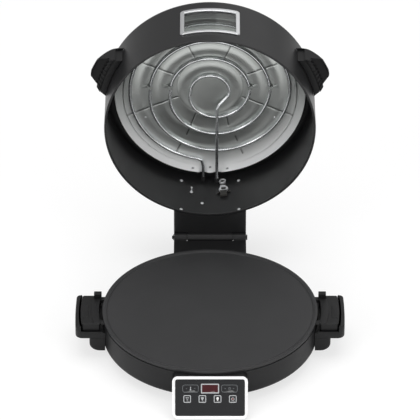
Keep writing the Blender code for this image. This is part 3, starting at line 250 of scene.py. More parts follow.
# Bottom cover and feet. The cover is a flat steel disc, painted matt black, screwed to the flange.
# Four turned feet of black silicone rubber are pushed into it and hold the oven off the table.
FOOT_RADIUS = 0.0060
FOOT_HEIGHT = 0.0100
FOOT_TOP = -0.0488
CORNERS = ("front_left", "front_right", "rear_left", "rear_right")

# Thin black enamel on steel, duller than the powder coat above it.
matt_paint = new_material("matt_painted_steel", Roughness=0.58, IOR=1.5,
                          Base_Color=linear("#27272a"))
grained(matt_paint, size=0.0011, detail=2.0, strength=0.15, depth=0.00005)

# Silicone rubber: black, soft and dry to the touch, with no gloss.
rubber = new_material("silicone_rubber", IOR=1.43, Base_Color=linear("#1c1c1d"))
smeared(rubber, 0.70, 0.86, size=0.0020, detail=4.0)


def repaint(name, material):
    """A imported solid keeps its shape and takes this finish."""
    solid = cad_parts[name]
    solid.data.materials.clear()
    solid.data.materials.append(material)


repaint("bottom_cover", matt_paint)
foot = rounded([(0, 0), (FOOT_RADIUS, 0), (FOOT_RADIUS, -FOOT_HEIGHT), (0, -FOOT_HEIGHT)],
               [0, 0.0006, 0.0010, 0])
for name in CORNERS:
    low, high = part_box("foot_" + name)
    points = turned(foot, around(48)) + [(low.x + high.x) / 2, (low.y + high.y) / 2, FOOT_TOP]
    fit(surface("rubber_foot_" + name, points), rubber, "base", "rubber", "foot_" + name)


# Lower heater. A ring of sheathed element lies under the pan, over a dished reflector of
# aluminised steel. A ceramic block holds its two ends, and a sprung sensor touches the pan.

# Hot-dipped aluminium on rolled steel: soft grey mirror, streaked along the rolling direction. The
# streaks are drawn 1.2 mm wide, coarser than they are, so that they show.
aluminised = new_material("aluminised_steel_sheet", Metallic=1.0, Base_Color=linear("#b4b8b5"))
smeared(aluminised, 0.30, 0.40, size=0.050, detail=3.0)
grained(aluminised, size=0.0012, detail=4.0, strength=0.10, depth=0.00003, drawn=(1, 0.05, 0.05))

# Drawn stainless tube, annealed and then heated: a clean pale grey in faint clouds, softly bright.
sheath = new_material("annealed_element_sheath", Metallic=1.0, Roughness=0.22)
mottled(sheath, "#d4d7d9", "#e2e4e5", size=0.030, detail=2.0)

# Zinc plate over mild steel with a pale passivation, which leaves it bright and slightly chalky.
zinc = new_material("zinc_plated_steel", Metallic=0.6, Roughness=0.32)
mottled(zinc, "#dcdee0", "#ecedee", size=0.0025, detail=2.0)

# Steatite, pressed and fired: off-white and chalky, with grey specks.
ceramic = new_material("fired_steatite", Roughness=0.62, IOR=1.55)
mottled(ceramic, "#d6d2c6", "#e4e1d8", size=0.0009, detail=2.0)

repaint("lower_reflector", aluminised)
repaint("lower_heating_element", sheath)
repaint("lower_terminal_block", ceramic)
repaint("pan_sensor", zinc)


# Pan handles. Each is moulded in black glass-filled nylon, screwed to two lugs of the pan, with a
# raised tab at its rear corner. An arch beside the pan stands a little above the outer plateau.
HANDLE_HALF = 0.0376
HANDLE_FOOT = -0.0128
PLATEAU = 0.0004
ARCH_TOP = 0.0012
TAB_TOP = 0.0082
GRIP_ROOT = -0.0060
LUG_FOOT = -0.0036
LUG_TOP = -0.0001
CAD_WELD = 0.000002
FLAT = np.radians(1.0)
SIDES = ((-1, "left"), (1, "right"))

# Moulded nylon with a spark-eroded texture: near black, satin, finely pitted. The pits, really
# 0.1 mm, are drawn as 0.5 mm so that they show.
nylon = new_material("moulded_black_nylon", IOR=1.38, Base_Color=linear("#111112"))
smeared(nylon, 0.38, 0.52, size=0.018, detail=2.0)
grained(nylon, size=0.0005, detail=3.0, strength=0.18, depth=0.00005)


def inset(outline, depth):
    """A closed outline moved inwards: each point goes along the mean of its two sides' normals."""
    side = np.roll(outline, -1, 0) - outline
    side = side / np.maximum(np.linalg.norm(side, axis=1), 1e-12)[:, None]
    normal = np.stack([-side[:, 1], side[:, 0]], -1)
    mean = normal + np.roll(normal, 1, 0)
    mean = mean / np.maximum((mean ** 2).sum(1), 1.0)[:, None] * 2
    return outline + depth * mean


def stacked(layers):
    """Outlines of one length laid over each other, each at its own height."""
    return np.stack([np.insert(outline, 2, height, axis=1) for outline, height in layers])


def slab(outline, layers):
    """An outline, counter-clockwise, repeated at each layer's inset and height."""
    return stacked([(inset(outline, depth), height) for depth, height in layers])


def closed(grid, caps=True):
    """The points and faces of a grid, whose first and last rows are filled by caps."""
    return grid.reshape(-1, 3), grid_faces(*grid.shape[:2], caps=caps)


def block(outline, low, high, radius, steps=4):
    """A closed slab of an outline, whose upper and lower edges are quarter circles."""
    angle = np.linspace(0, np.pi / 2, steps + 1)
    inwards, rise = radius * (1 - np.cos(angle)), radius * np.sin(angle)
    upper = np.stack([inwards, high - radius + rise], -1)
    lower = np.stack([inwards, low + radius - rise], -1)[::-1]
    return closed(slab(outline, np.concatenate([lower, upper])))


def softened(name, node_name, width):
    """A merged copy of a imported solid, whose edges are rounded by a bevel."""
    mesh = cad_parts[node_name].data.copy()
    mesh.name = name
    work = bmesh.new()
    work.from_mesh(mesh)
    bmesh.ops.remove_doubles(work, verts=work.verts, dist=CAD_WELD)
    bmesh.ops.dissolve_limit(work, angle_limit=FLAT, verts=work.verts, edges=work.edges)
    work.to_mesh(mesh)
    work.free()
    piece = placed(name, mesh)
    edge = piece.modifiers.new("edges", "BEVEL")
    edge.width = width
    edge.segments = 3
    edge.limit_method = "ANGLE"
    edge.angle_limit = SHARP
    edge.harden_normals = True
    return piece


def bowed(middle, rise, half, corner, steps=20):
    """A side along y, x = middle - rise * (y / half) ** 2, with no points where its ends round."""
    clear = 1 - 1.3 * corner / half
    share = np.concatenate([[-1], np.linspace(-clear, clear, steps - 1), [1]])
    return np.stack([middle - rise * share ** 2, share * half], -1)


def arch_outline(inner, outer, half, corner, end=None):
    """A band between two bowed sides, each of its own middle and rise, with rounded corners."""
    end = corner if end is None else end
    there, back = bowed(*outer, half, end), bowed(*inner, half, corner)[::-1]
    radii = np.zeros(len(there) + len(back))
    radii[[0, len(there) - 1]] = end
    radii[[len(there), -1]] = corner
    return rounded(np.concatenate([there, back]), radii, closed=True)


def joined(name, parts, side=1):
    """Closed shells that make up one moulding, mirrored in x where the side is -1."""
    points, faces, first = [], [], 0
    for shell, cells in parts:
        points.append(shell)
        faces += [[corner + first for corner in cell] for cell in cells]
        first += len(shell)
    return mesh_piece(name, np.concatenate(points) * [side, 1, 1], faces)


def rectangle(one, other, corner):
    """Counter-clockwise from one corner, through the opposite one, with each corner rounded."""
    (left, front), (right, back) = one, other
    return rounded([(left, front), (right, front), (right, back), (left, back)], corner, closed=True)


# The body, the arch beside the pan, a low pad, the tab, and two lugs that reach under the rim.
pan_grip = [
    block(arch_outline((0.1652, 0.0035), (0.1923, 0.0024), HANDLE_HALF, 0.0030), HANDLE_FOOT,
          PLATEAU, 0.0012),
    block(arch_outline((0.1650, 0.0034), (0.1765, 0.0050), HANDLE_HALF - 0.0012, 0.0016),
          GRIP_ROOT, ARCH_TOP, 0.0006),
    block(rectangle((0.1804, -0.0215), (0.1897, 0.0120), 0.0010), -0.0050, PLATEAU + 0.0004,
          0.0003),
    block(rectangle((0.1617, 0.0290), (0.1730, HANDLE_HALF - 0.0003), 0.0008), GRIP_ROOT, TAB_TOP,
          0.0006)]
for front, back in ((0.0265, 0.0345), (-0.0345, -0.0265)):
    pan_grip.append(block(rectangle((0.1558, front), (0.1680, back), 0.0006), LUG_FOOT, LUG_TOP,
                          0.0005))
for side, label in SIDES:
    grip = joined("pan_grip_" + label, pan_grip, side)
    fit(grip, nylon, "base", "black_plastic", "pan_handle_" + label)


# Base handles. A cup of the same nylon, with a high rounded wall outside the pan's handle. Its foot
# runs down the bowl's wall, to which it is screwed from inside.
CUP_HALF = 0.0415
CUP_FAR = 0.2000
CUP_FOOT = -0.0238
CUP_FLOOR = -0.0131
CUP_ROUND = 0.0030
CUP_CORNER = 0.0090
END_WALL = 0.0381
END_TOP = -0.0116
STRIP_TOP = -0.0010
STRIP_IN = 0.0020
STRIP_DOWN = 0.0026
LEG_FAR = 0.1795
LEG_HALF = 0.0410
LEG_FOOT = -0.0458
LEG_ROUND = 0.0120
LEG_TAPER = 0.0015
LEG_CORNER = 0.0040
WALL_REACH = 0.1606


def against_wall(far, half, corner, steps=24):
    """An outline whose inner side follows the bowl: an arc of its radius from -half to half."""
    outer = bowed(far, 0.0010, half, corner, steps)
    angle = -np.linspace(-1, 1, steps + 1) * np.arcsin(half / WALL_REACH)
    radii = np.zeros(2 * steps + 2)
    radii[[0, steps]] = corner
    return rounded(np.concatenate([outer, arc(WALL_REACH, angle)]), radii, closed=True)


turn = np.linspace(0, np.pi / 2, 7)
cup = [(against_wall(CUP_FAR - depth, CUP_HALF - depth, CUP_CORNER), height) for depth, height
       in zip(CUP_ROUND * (1 - np.sin(turn)), CUP_FOOT + CUP_ROUND * (1 - np.cos(turn)))]
cup.append((against_wall(CUP_FAR, CUP_HALF, CUP_CORNER), CUP_FLOOR))
strip = slab(arch_outline((0.1929, 0.0024), (CUP_FAR, 0.0010), CUP_HALF, 0.0008, 0.0060),
             [(0.0002, CUP_FLOOR - 0.0004), (0, CUP_FLOOR), (0, STRIP_TOP - STRIP_DOWN)]
             + [(STRIP_IN * (1 - np.cos(t)), STRIP_TOP - STRIP_DOWN * (1 - np.sin(t)))
                for t in turn[1:]])
leg = [(against_wall(LEG_FAR - LEG_ROUND * (1 - np.sin(t)), LEG_HALF - LEG_TAPER * (1 - i / 8),
                     LEG_CORNER), LEG_FOOT + LEG_ROUND * (1 - np.cos(t)))
       for i, t in enumerate(np.linspace(0.12, np.pi / 2, 9))]
leg.append((against_wall(LEG_FAR, LEG_HALF, LEG_CORNER), CUP_FOOT + 0.0010))
base_grip = [closed(stacked(cup)), closed(strip), closed(stacked(leg))]
for front, back in ((0.0002 - CUP_HALF, -END_WALL), (END_WALL, CUP_HALF - 0.0002)):
    base_grip.append(block(rectangle((0.1585, front), (0.1945, back), 0.0008),
                           CUP_FLOOR - 0.0010, END_TOP, 0.0006))
for side, label in SIDES:
    fit(joined("base_grip_" + label, base_grip, side), nylon, "base", "black_plastic",
        "base_handle_" + label)


# Hinge. A die-cast bracket is screwed to the back of the bowl. The neck's barrel sits between its
# two ears on a steel pin, which has a turned head at one end and a clip at the other.

# Heat-resistant black stoving enamel on cast metal and on the neck: darker than the bowl.
enamel = new_material("stoved_black_enamel", Roughness=0.48, IOR=1.42, Base_Color=linear("#151516"))
grained(enamel, size=0.0012, detail=2.0, strength=0.15, depth=0.00005)

fit(softened("hinge_casting", "hinge_bracket", 0.0003), enamel, "base", "neck_plastic",
    "hinge_bracket")
repaint("hinge_pin", enamel)
repaint("hinge_pin_clip", enamel)
fit(softened("neck", "lid_arm", 0.0004), enamel, "lid", "neck_plastic", "lid_arm")


# Lid. A deep drawn steel dome, 0.6 mm thick, with a hem turned in at its mouth and an opening for
# the window. Its outside is painted satin black, and it stands open, just short of upright.
LID_MOUTH = 0.1588
LID_TOP = 0.1584
LID_DEPTH = 0.1120
LID_DOME = 0.0030
LID_CORNER = 0.0080
LID_HEM = 0.0034
LID_SHEET = 0.0006
LID_BACK = 0.1962
LID_AXLE = -0.0012
LID_RISE = 0.0032
LID_ANGLE = np.radians(88)
WINDOW_HALF = 0.0410
WINDOW_FOOT = 0.0244
WINDOW_HEAD = 0.0825
OPENING_CUTS = 24
WALL_CUTS = 230


def on_lid(points):
    """From the lid's own axes, Y to the hinge and Z up from its mouth, to where it stands open."""
    x, y, z = np.moveaxis(np.asarray(points, float), -1, 0)
    y, z = y - LID_BACK, z + LID_RISE - LID_AXLE
    return np.stack([x, LID_BACK + y * np.cos(LID_ANGLE) + z * np.sin(LID_ANGLE),
                     LID_AXLE - y * np.sin(LID_ANGLE) + z * np.cos(LID_ANGLE)], -1)


def wall_radius(height):
    """The lid's wall tapers: its radius falls evenly from the mouth to the corner."""
    return LID_MOUTH + (LID_TOP - LID_MOUTH) * np.asarray(height) / (LID_DEPTH - LID_CORNER)


# Satin stoving paint, a little lighter and glossier than the bowl, with the same orange peel.
satin = new_material("satin_stoved_paint", IOR=1.42, Base_Color=linear("#202021"))
smeared(satin, 0.32, 0.40, size=0.050, detail=3.0)
grained(satin, size=0.0016, detail=1.0, strength=0.10, depth=0.00005)

share = np.linspace(0, 1, 12)
dome = np.stack([(LID_TOP - LID_CORNER) * share, LID_DEPTH + LID_DOME * (1 - share ** 2)], -1)
turn = np.linspace(np.pi / 2, 0, 9)[1:]
corner = arc(LID_CORNER, turn, (LID_TOP - LID_CORNER, LID_DEPTH - LID_CORNER))
levels = np.unique(np.append(np.linspace(0.002, 0.102, 14), [WINDOW_FOOT, WINDOW_HEAD]))[::-1]
wall = np.stack([wall_radius(levels), levels], -1)
hem = rounded([(LID_MOUTH, 0.001), (LID_MOUTH, 0), (LID_MOUTH - LID_HEM, 0),
               (LID_MOUTH - LID_HEM, 0.0016)], [0, 0.0006, 0.0006, 0])
profile = np.concatenate([dome, corner, wall, hem])
half_turn = np.arcsin(WINDOW_HALF / LID_TOP)
angle = np.concatenate([np.linspace(-half_turn, half_turn, OPENING_CUTS + 1),
                        np.linspace(half_turn, 2 * np.pi - half_turn, WALL_CUTS + 2)[1:-1]])
points = turned(profile, angle - np.pi / 2)
# The cells between the window's foot, head and two sides are left open.
open_row = (profile[:-1, 1] <= WINDOW_HEAD) & (profile[1:, 1] >= WINDOW_FOOT)
open_column = np.arange(len(angle)) < OPENING_CUTS
kept = ~np.outer(open_row, open_column).reshape(-1)
faces = np.array(grid_faces(*points.shape[:2]))[kept].tolist()
lid = mesh_piece("lid_dome", on_lid(points), faces)
sheet = lid.modifiers.new("sheet", "SOLIDIFY")
sheet.thickness = LID_SHEET
sheet.offset = -1
fit(lid, satin, "lid", "black_paint", "lid_shell")


# Window. A pane of curved tempered glass stands in the opening, behind a pressed trim of chromed
# steel whose ends are folded over the wall.
TRIM_WIDTH = 0.0890
TRIM_HEIGHT = 0.0651
TRIM_CORNER = 0.0050
PANE_WIDTH = 0.0814
PANE_HEIGHT = 0.0575
PANE_THICK = 0.0025
WINDOW_CUTS = 16
LEAST_CORNER = 0.0003

# Satin chrome: bright and nearly neutral, and finely blasted, so that it keeps soft reflections
# only. Its grain is drawn as 0.8 mm, coarser than it is, to show.
chrome = new_material("satin_chromed_trim", Metallic=1.0, Roughness=0.30,
                      Base_Color=linear("#e9eaec"))
grained(chrome, size=0.0008, detail=3.0, strength=0.05, depth=0.00002)

# Tempered soda-lime glass, lightly smoked, with a haze of grease on it.
pane_glass = new_material("tempered_glass", IOR=1.52, Transmission_Weight=1.0,
                          Base_Color=linear("#a4a8a6"))
smeared(pane_glass, 0.01, 0.05, size=0.025, detail=4.0)


def layered(width, height, radius, layers, sides=1, steps=6):
    """Rounded rectangles drawn in by each layer's inset, at its height. Their straight sides are
    cut into equal parts, start + (end - start) * share, and each corner has steps + 1 points."""
    rows = []
    for depth, level in layers:
        across, along = width / 2 - depth, height / 2 - depth
        row = rectangle((across, along), (-across, -along), max(radius - depth, LEAST_CORNER))
        parts = np.where(np.arange(len(row)) % (steps + 1) == steps, sides, 1)
        place = np.arange(parts.sum()) - np.repeat(np.cumsum(parts) - parts, parts)
        share = (place / np.repeat(parts, parts))[:, None]
        side = np.roll(row, -1, 0) - row
        rows.append((np.repeat(row, parts, 0) + np.repeat(side, parts, 0) * share, level))
    return stacked(rows)


def on_front_wall(points, middle):
    """Lays a flat form on the lid's front wall: x stays, y climbs the wall, z stands out of it."""
    x, y, z = np.moveaxis(points, -1, 0)
    reach = wall_radius(middle + y) + z
    return on_lid(np.stack([x, -np.sqrt(reach ** 2 - x ** 2), middle + y], -1))


trim_profile = [(0.0, 0.0003), (0.0, 0.0019), (0.0003, 0.0023), (0.0009, 0.0025),
                (0.0052, 0.0025), (0.0058, 0.0023), (0.0061, 0.0018), (0.0061, 0.0003)]
middle = (WINDOW_FOOT + WINDOW_HEAD) / 2
rows = layered(TRIM_WIDTH, TRIM_HEIGHT, TRIM_CORNER, trim_profile, sides=WINDOW_CUTS)
trim = surface("window_trim", on_front_wall(rows, middle), ring=True)
fit(trim, chrome, "lid", "silver_trim", "window_frame")


def pane(width, height, low, high, cuts):
    """Two curved faces and the rim between them: one loop of x and z, repeated at each y."""
    across = np.linspace(-width / 2, width / 2, cuts + 1)
    along = np.linspace(-height / 2, height / 2, cuts + 1)
    loop = np.concatenate([np.stack([across, np.full(cuts + 1, high)], -1),
                           np.stack([across[::-1], np.full(cuts + 1, low)], -1)])
    return np.stack([np.insert(loop, 1, y, axis=1) for y in along])


rows = pane(PANE_WIDTH, PANE_HEIGHT, -PANE_THICK, 0.0, WINDOW_CUTS)
glass = surface("window_pane", on_front_wall(rows, middle), caps=True)
fit(glass, pane_glass, "lid", "window_glass", "window_glass")


# Upper reflector. A disc of aluminised steel, 290 mm across, whose skirt stands on the lid's top.
# Wide rings are pressed into it between the turns of the element, with creases across them.
REFLECTOR_FACE = 0.0952
REFLECTOR_RADIUS = 0.1450
SKIRT_RADIUS = 0.1465
SKIRT_FOOT = 0.1110
STEP_START = 0.1313
STEP_WIDTH = 0.0016
STEP_RISE = 0.0026
RING_FORWARD = 0.0062
HILLS = [0.1061, 0.0755, 0.0448]
HILL_RISE = 0.0007
HILL_WIDTH = 0.0062
LEAD = 0.0105
RELIEF = 0.0050
DISHES = [(0.0009, 0.1200, 0.0115, 2), (0.0028, 0.1325, 0.0125, 1.3)]
CIRCLE_FORWARD = 0.0145
CIRCLE_RADIUS = 0.0498
CIRCLE_LINE = (0.35, 0.0007)
CREASE_LINE = 0.0010
SCORE_DEPTH = 0.0004
CREASES = [(-0.0333, 0.0883, -0.0228, 0.0659), (0.0314, 0.0873, 0.0224, 0.0659),
           (-0.1022, 0.0569, -0.0562, 0.0365), (0.1006, 0.0546, 0.0572, 0.0365),
           (-0.0488, -0.0043, -0.1260, -0.0385), (0.0499, -0.0054, 0.1262, -0.0385),
           (-0.0215, -0.0348, -0.0357, -0.0742), (-0.0454, -0.0916, -0.0531, -0.1102),
           (0.0254, -0.0403, 0.0281, -0.0569), (0.0388, -0.0772, 0.0417, -0.0857),
           (0.0473, -0.1009, 0.0504, -0.1087)]
HOLES = [(-0.0264, -0.1368), (0.0002, -0.1357), (0.0265, -0.1374)]
HOLE = 0.0013
HOLE_SHADE = 1.6
# The painted highlight towards the rim: where it starts, how far it grows and how it fades forwards.
SHEEN_START = 0.090
SHEEN_WIDTH = 0.044
SHEEN_FADE = 0.110


def bell(distance, width):
    """exp(-(distance / width) ** 2): one in the middle, and nearly nothing past two widths."""
    return np.exp(-(distance / width) ** 2)


def pressed(x, forward):
    """How far the sheet is pushed to the mouth, and its lines: how deep they are, and where shade is
    painted.

    Hills are bells round the element's centre. The rim is dished twice, by
    rise * ((reach - start) / length) ** power, but for a relief under each lead. Lines are thin
    bells along a circle and along each crease, by the distance to the segment's nearest point.
    """
    ring = np.hypot(x, forward - RING_FORWARD)
    reach = np.hypot(x, forward)
    relief = 1 - bell(np.abs(x) - LEAD, RELIEF) * (forward < 0)
    rise = sum(HILL_RISE * bell(ring - hill, HILL_WIDTH) for hill in HILLS)
    rise = rise + relief * sum(dish * np.clip((reach - start) / length, 0, 1) ** power
                               for dish, start, length, power in DISHES)
    faint, width = CIRCLE_LINE
    lines = faint * bell(np.hypot(x, forward - CIRCLE_FORWARD) - CIRCLE_RADIUS, width)
    for ax, ay, bx, by in CREASES:
        dx, dy = bx - ax, by - ay
        share = np.clip(((x - ax) * dx + (forward - ay) * dy) / np.hypot(dx, dy) ** 2, 0, 1)
        away = np.hypot(x - ax - share * dx, forward - ay - share * dy)
        lines = np.maximum(lines, bell(away, CREASE_LINE))
    return rise, lines


radius = np.concatenate([np.linspace(0, 0.1305, 132), np.linspace(0.1309, 0.1335, 8),
                         np.linspace(0.1342, REFLECTOR_RADIUS - 0.0004, 13)])
front = turned(np.stack([radius, np.full(len(radius), REFLECTOR_FACE)], -1), around(480))
rise, lines = pressed(front[..., 0], -front[..., 1])
step = STEP_RISE * np.clip((radius - STEP_START) / STEP_WIDTH, 0, 1)[:, None]
front[..., 2] += step - rise + SCORE_DEPTH * lines
behind = turned([(REFLECTOR_RADIUS + 0.0004, REFLECTOR_FACE + 0.0022), (SKIRT_RADIUS, SKIRT_FOOT),
                 (SKIRT_RADIUS - 0.0005, SKIRT_FOOT),
                 (REFLECTOR_RADIUS - 0.0008, REFLECTOR_FACE + 0.0026),
                 (0.1300, REFLECTOR_FACE + 0.0024), (0.0, REFLECTOR_FACE + 0.0010)], around(480))
plate = surface("pressed_reflector", on_lid(np.concatenate([front, behind])))

# In the lid's own axes again, each vertex takes the shade painted along its lines and at the holes,
# and the highlight painted towards the rim.
place = np.empty(len(plate.data.vertices) * 3)
plate.data.vertices.foreach_get("co", place)
across, back, up = (place.reshape(-1, 3) - [0, LID_BACK, LID_AXLE]).T
forward = -(back * np.cos(LID_ANGLE) - up * np.sin(LID_ANGLE) + LID_BACK)
_, painted_crease_shade = pressed(across, forward)
# Painted shade: each hole is not cut, and is only a dark spot.
for x, y in HOLES:
    painted_crease_shade = np.maximum(painted_crease_shade, HOLE_SHADE * bell(np.hypot(across - x, forward - y), HOLE))
# Painted highlight: it grows towards the rim and fades away from the hinge's side.
painted_sheen = np.clip((np.hypot(across, forward) - SHEEN_START) / SHEEN_WIDTH, 0, 1) ** 1.3
painted_sheen = painted_sheen * np.clip(0.15 - forward / SHEEN_FADE, 0, 1)
for name, values in (("painted_crease_shade", painted_crease_shade), ("painted_sheen", painted_sheen)):
    marks = plate.data.attributes.new(name, "FLOAT", "POINT")
    marks.data.foreach_set("value", values.astype(np.float32))

# The same aluminised sheet, freshly pressed: brighter, with shade painted dark along its creases and
# at its holes. Towards the rim, on the hinge's side, a painted highlight makes it pale, rougher and
# less metallic.
fresh = new_material("pressed_aluminised_sheet")
place = node(fresh, "TexCoord").outputs["Object"]
cloud = node(fresh, "TexNoise", {"Vector": place, "Scale": 1 / 0.030, "Detail": 3.0}).outputs["Fac"]
crease_shade = node(fresh, "Attribute", attribute_name="painted_crease_shade").outputs["Fac"]
sheen_share = node(fresh, "Attribute", attribute_name="painted_sheen").outputs["Fac"]
tone = linear("#c4c8c5")
# The pale tone is the painted highlight, and the dark grey is the painted shade.
for share, other in ((cloud, "#d4d7d4"), (sheen_share, "#fbfcfc"), (crease_shade, "#4a4c4b")):
    mix = node(fresh, "MixRGB", {"Fac": share, "Color1": tone, "Color2": linear(other)})
    tone = mix.outputs["Color"]
wire(fresh, tone, "Base Color")
rough = node(fresh, "MapRange", {"Value": cloud, "To Min": 0.28, "To Max": 0.36})
dull = node(fresh, "MapRange", {"Value": sheen_share, "To Min": 0.0, "To Max": 0.14})
rough = node(fresh, "Math", {0: rough.outputs["Result"], 1: dull.outputs["Result"]},
             operation="ADD")
wire(fresh, rough.outputs["Value"], "Roughness")
share = node(fresh, "MapRange", {"Value": sheen_share, "To Min": 1.0, "To Max": 0.10})
wire(fresh, share.outputs["Result"], "Metallic")
fit(plate, fresh, "lid", "reflector_metal", "upper_reflector")


# Upper element. One stainless-sheathed tube, wound in four turns that step in at the back of the
# lid. Its inner end crosses under the others, and both ends leave through black silicone bushes.
TUBE = 0.0025
RING = 0.1215
PITCH = 0.0307
FIRST_SPREAD = 0.0025
BEND = 0.0090
TUBE_HEIGHT = 0.0924
CROSS_DROP = 0.0056
CROSS_BACK = 0.0290
LEAD_END = 0.0050


def element_path(count=144):
    """Half circles in front, spiral halves behind that step in one pitch, and the two leads."""
    high, low, end = TUBE_HEIGHT, TUBE_HEIGHT - CROSS_DROP, -(LID_TOP + LEAD_END)
    centre = (0, RING_FORWARD)
    first = np.arctan2(-RING, -LEAD - BEND) + 2 * np.pi
    share = np.linspace(0, 1, count // 4, endpoint=False)
    lines = [np.array([(-LEAD, end), (-LEAD, -RING - BEND),
                       (-LEAD - BEND / 4, -RING - BEND / 2 + RING_FORWARD)]),
             arc(RING + FIRST_SPREAD * (1 - share), first + (np.pi - first) * share, centre)]
    share = np.linspace(0, 1, count // 2, endpoint=False)
    for turn in range(4):
        front = RING - PITCH * turn
        lines.append(arc(front, np.pi * (1 - share), centre))
        if turn < 3:
            lines.append(arc(front - PITCH * share, -np.pi * share, centre))
    path = np.insert(np.concatenate(lines), 2, high, axis=1)
    share = np.linspace(0, 1, count // 4)
    ease = share * share * (3 - 2 * share)
    cross = np.stack([front + (LEAD - front) * ease, RING_FORWARD - CROSS_BACK * share,
                      high + (low - high) * ease], -1)
    path = np.concatenate([path, cross, [[LEAD, end, low]]])
    return path * [1, -1, 1]


def swept(path, radius, sides=20):
    """A circle carried along a path, square to it: across is ahead x Z, up is across x ahead."""
    ahead = np.gradient(path, axis=0)
    ahead /= np.linalg.norm(ahead, axis=1)[:, None]
    across = np.cross(ahead, [0, 0, 1])
    across /= np.linalg.norm(across, axis=1)[:, None]
    up = np.cross(across, ahead)
    turn = around(sides)[None, :, None]
    circle = np.cos(turn) * across[:, None] + np.sin(turn) * up[:, None]
    return path[:, None] + radius * circle


element = surface("upper_element", on_lid(swept(element_path(), TUBE)), caps=True)
fit(element, sheath, "lid", "element_metal", "upper_heating_element")
for label in ("left", "right"):
    repaint("element_bush_" + label, rubber)


# Clips, screws and thermostat. Strip clips hook under the rings, and zinc-plated pan-head screws
# hold the reflector and the neck. The thermostat on the back wall has a plated cap, strap and
# six-sided flange on a dark phenolic body, with a stud beside it.
BACK_WALL = 0.1579
CAP_PLACE = (0.0194, 0.0838)
STUD_PLACE = (-0.0281, 0.0585)
OFF_WALL = 0.0003

for label in ("left_inner", "left_outer", "right_inner", "right_outer"):
    clip = softened("strap_" + label, "element_clip_" + label, 0.0002)
    fit(clip, aluminised, "lid", "zinc_steel", "element_clip_" + label)
for label in CORNERS:
    repaint("reflector_screw_" + label, zinc)
for number in range(1, 7):
    repaint("wall_screw_%d" % number, zinc)

# Moulding compound as on a switch's body: phenolic, dull and a little brown.
phenolic = new_material("moulded_phenolic", Roughness=0.55, IOR=1.55)
mottled(phenolic, "#2b2a28", "#393733", size=0.0010, detail=2.0)


def on_back_wall(points):
    """From across, height above the mouth and distance off the wall, to the lid's rear inside:
    y = sqrt(wall ** 2 - across ** 2) - distance."""
    across, height, off = np.moveaxis(np.asarray(points, float), -1, 0)
    return on_lid(np.stack([across, np.sqrt(BACK_WALL ** 2 - across ** 2) - off, height], -1))


def bar(left, low, right, high):
    """A plain rectangle, counter-clockwise."""
    return [(left, low), (right, low), (right, high), (left, high)]


def disc(radius, across=0.0, level=0.0):
    """A full circle about a middle."""
    return arc(radius, around(24), (across, level))


def wall_block(outline, high, radius, low=OFF_WALL):
    """A block drawn flat, from low to high off the wall, and laid on the lid's rear inside."""
    points, faces = block(np.array(outline, float), low, high, radius)
    return on_back_wall(points), faces


cap = rounded([(0, 0.0004), (0.0051, 0.0004), (0.0051, 0.0050), (0.0040, 0.0050), (0.0038, 0.0034),
               (0, 0.0034)], [0, 0.0003, 0.0004, 0.0003, 0.0003, 0], steps=3)
cap = on_back_wall(turned(cap, around(48)) + [*CAP_PLACE, 0])
flange = np.array([(0.0280, 0.0638), (0.0262, 0.0692), (0.0152, 0.0692), (0.0134, 0.0638),
                   (0.0152, 0.0586), (0.0262, 0.0586)])
metal = [closed(cap, caps=False), wall_block(bar(0.0154, 0.0722, 0.0240, 0.0752), 0.0022, 0.0003),
         wall_block(flange, 0.0040, 0.0005)]
fit(joined("thermostat_metal", metal), zinc, "lid", "zinc_steel", "lid_thermostat")
mouth = flange + (flange.mean(0) - flange) * 0.46
body = [wall_block(mouth, 0.0043, 0.0002, low=0.0030),
        wall_block(disc(0.0034, *CAP_PLACE), 0.0038, 0.0002, low=0.0030),
        wall_block(bar(0.0160, 0.0740, 0.0234, 0.0800), 0.0012, 0.0002),
        wall_block(bar(0.0155, 0.0470, 0.0261, 0.0584), 0.0052, 0.0005),
        wall_block([(0.0110, 0.0530), (0.0154, 0.0566), (0.0154, 0.0582), (0.0104, 0.0540)],
                   0.0026, 0.0003),
        wall_block([(0.0310, 0.0564), (0.0316, 0.0578), (0.0262, 0.0586), (0.0262, 0.0570)],
                   0.0026, 0.0003)]
fit(joined("thermostat_body", body), phenolic, "lid", "zinc_steel")
stud = rounded([(0, 0), (0.0010, 0), (0.0010, 0.0070), (0.0016, 0.0074), (0.0016, 0.0088),
                (0, 0.0092)], [0, 0, 0, 0.0003, 0.0006, 0], steps=3)
stud = on_back_wall(turned(stud, around(32)) + [*STUD_PLACE, 0])
fit(surface("terminal_stud", stud), zinc, "lid", "zinc_steel")


# Lid handles. Two curved wings of black nylon, hollow underneath for the fingers, each screwed to
# a mount of the same nylon on the lid's wall. A row of small ribs stiffens the root of each wing.
WING_FRONT = 0.0930
RIB_RADIUS = 0.1757
RIB_HEIGHT = 0.0535
RIB_PITCH = 0.0058
RIB_DEPTH = (0.0015, 0, -0.0012)
MOUNT_FRONT = 0.0900
MOUNT_SHORTER = 0.0040
CUT_REACH = [0.1580, 0.1593, 0.1691, 0.1698, 0.1721, 0.1764, 0.1848, 0.1894, 0.1917, 0.1930]
CUT_FORWARD = [0.0215, 0.0228, 0.0310, 0.0345, 0.0420, 0.0470, 0.0560, 0.0622, 0.0690, 0.0745]


def along_lid(profile, front, inset_rear, rows):
    """A closed profile of radius and height drawn along the wall, from the cut at the rear to the
    flat front: forward = cut(r) + (front - cut(r)) * share, and x = sqrt(r ** 2 - forward ** 2)."""
    radius, height = profile.T
    share = np.linspace(0, 1, rows)[:, None]
    rear = np.interp(radius, CUT_REACH, CUT_FORWARD) + inset_rear
    forward = rear + (front - rear) * share
    return np.stack([np.sqrt(radius ** 2 - forward ** 2), -forward,
                     np.broadcast_to(height, forward.shape)], -1)


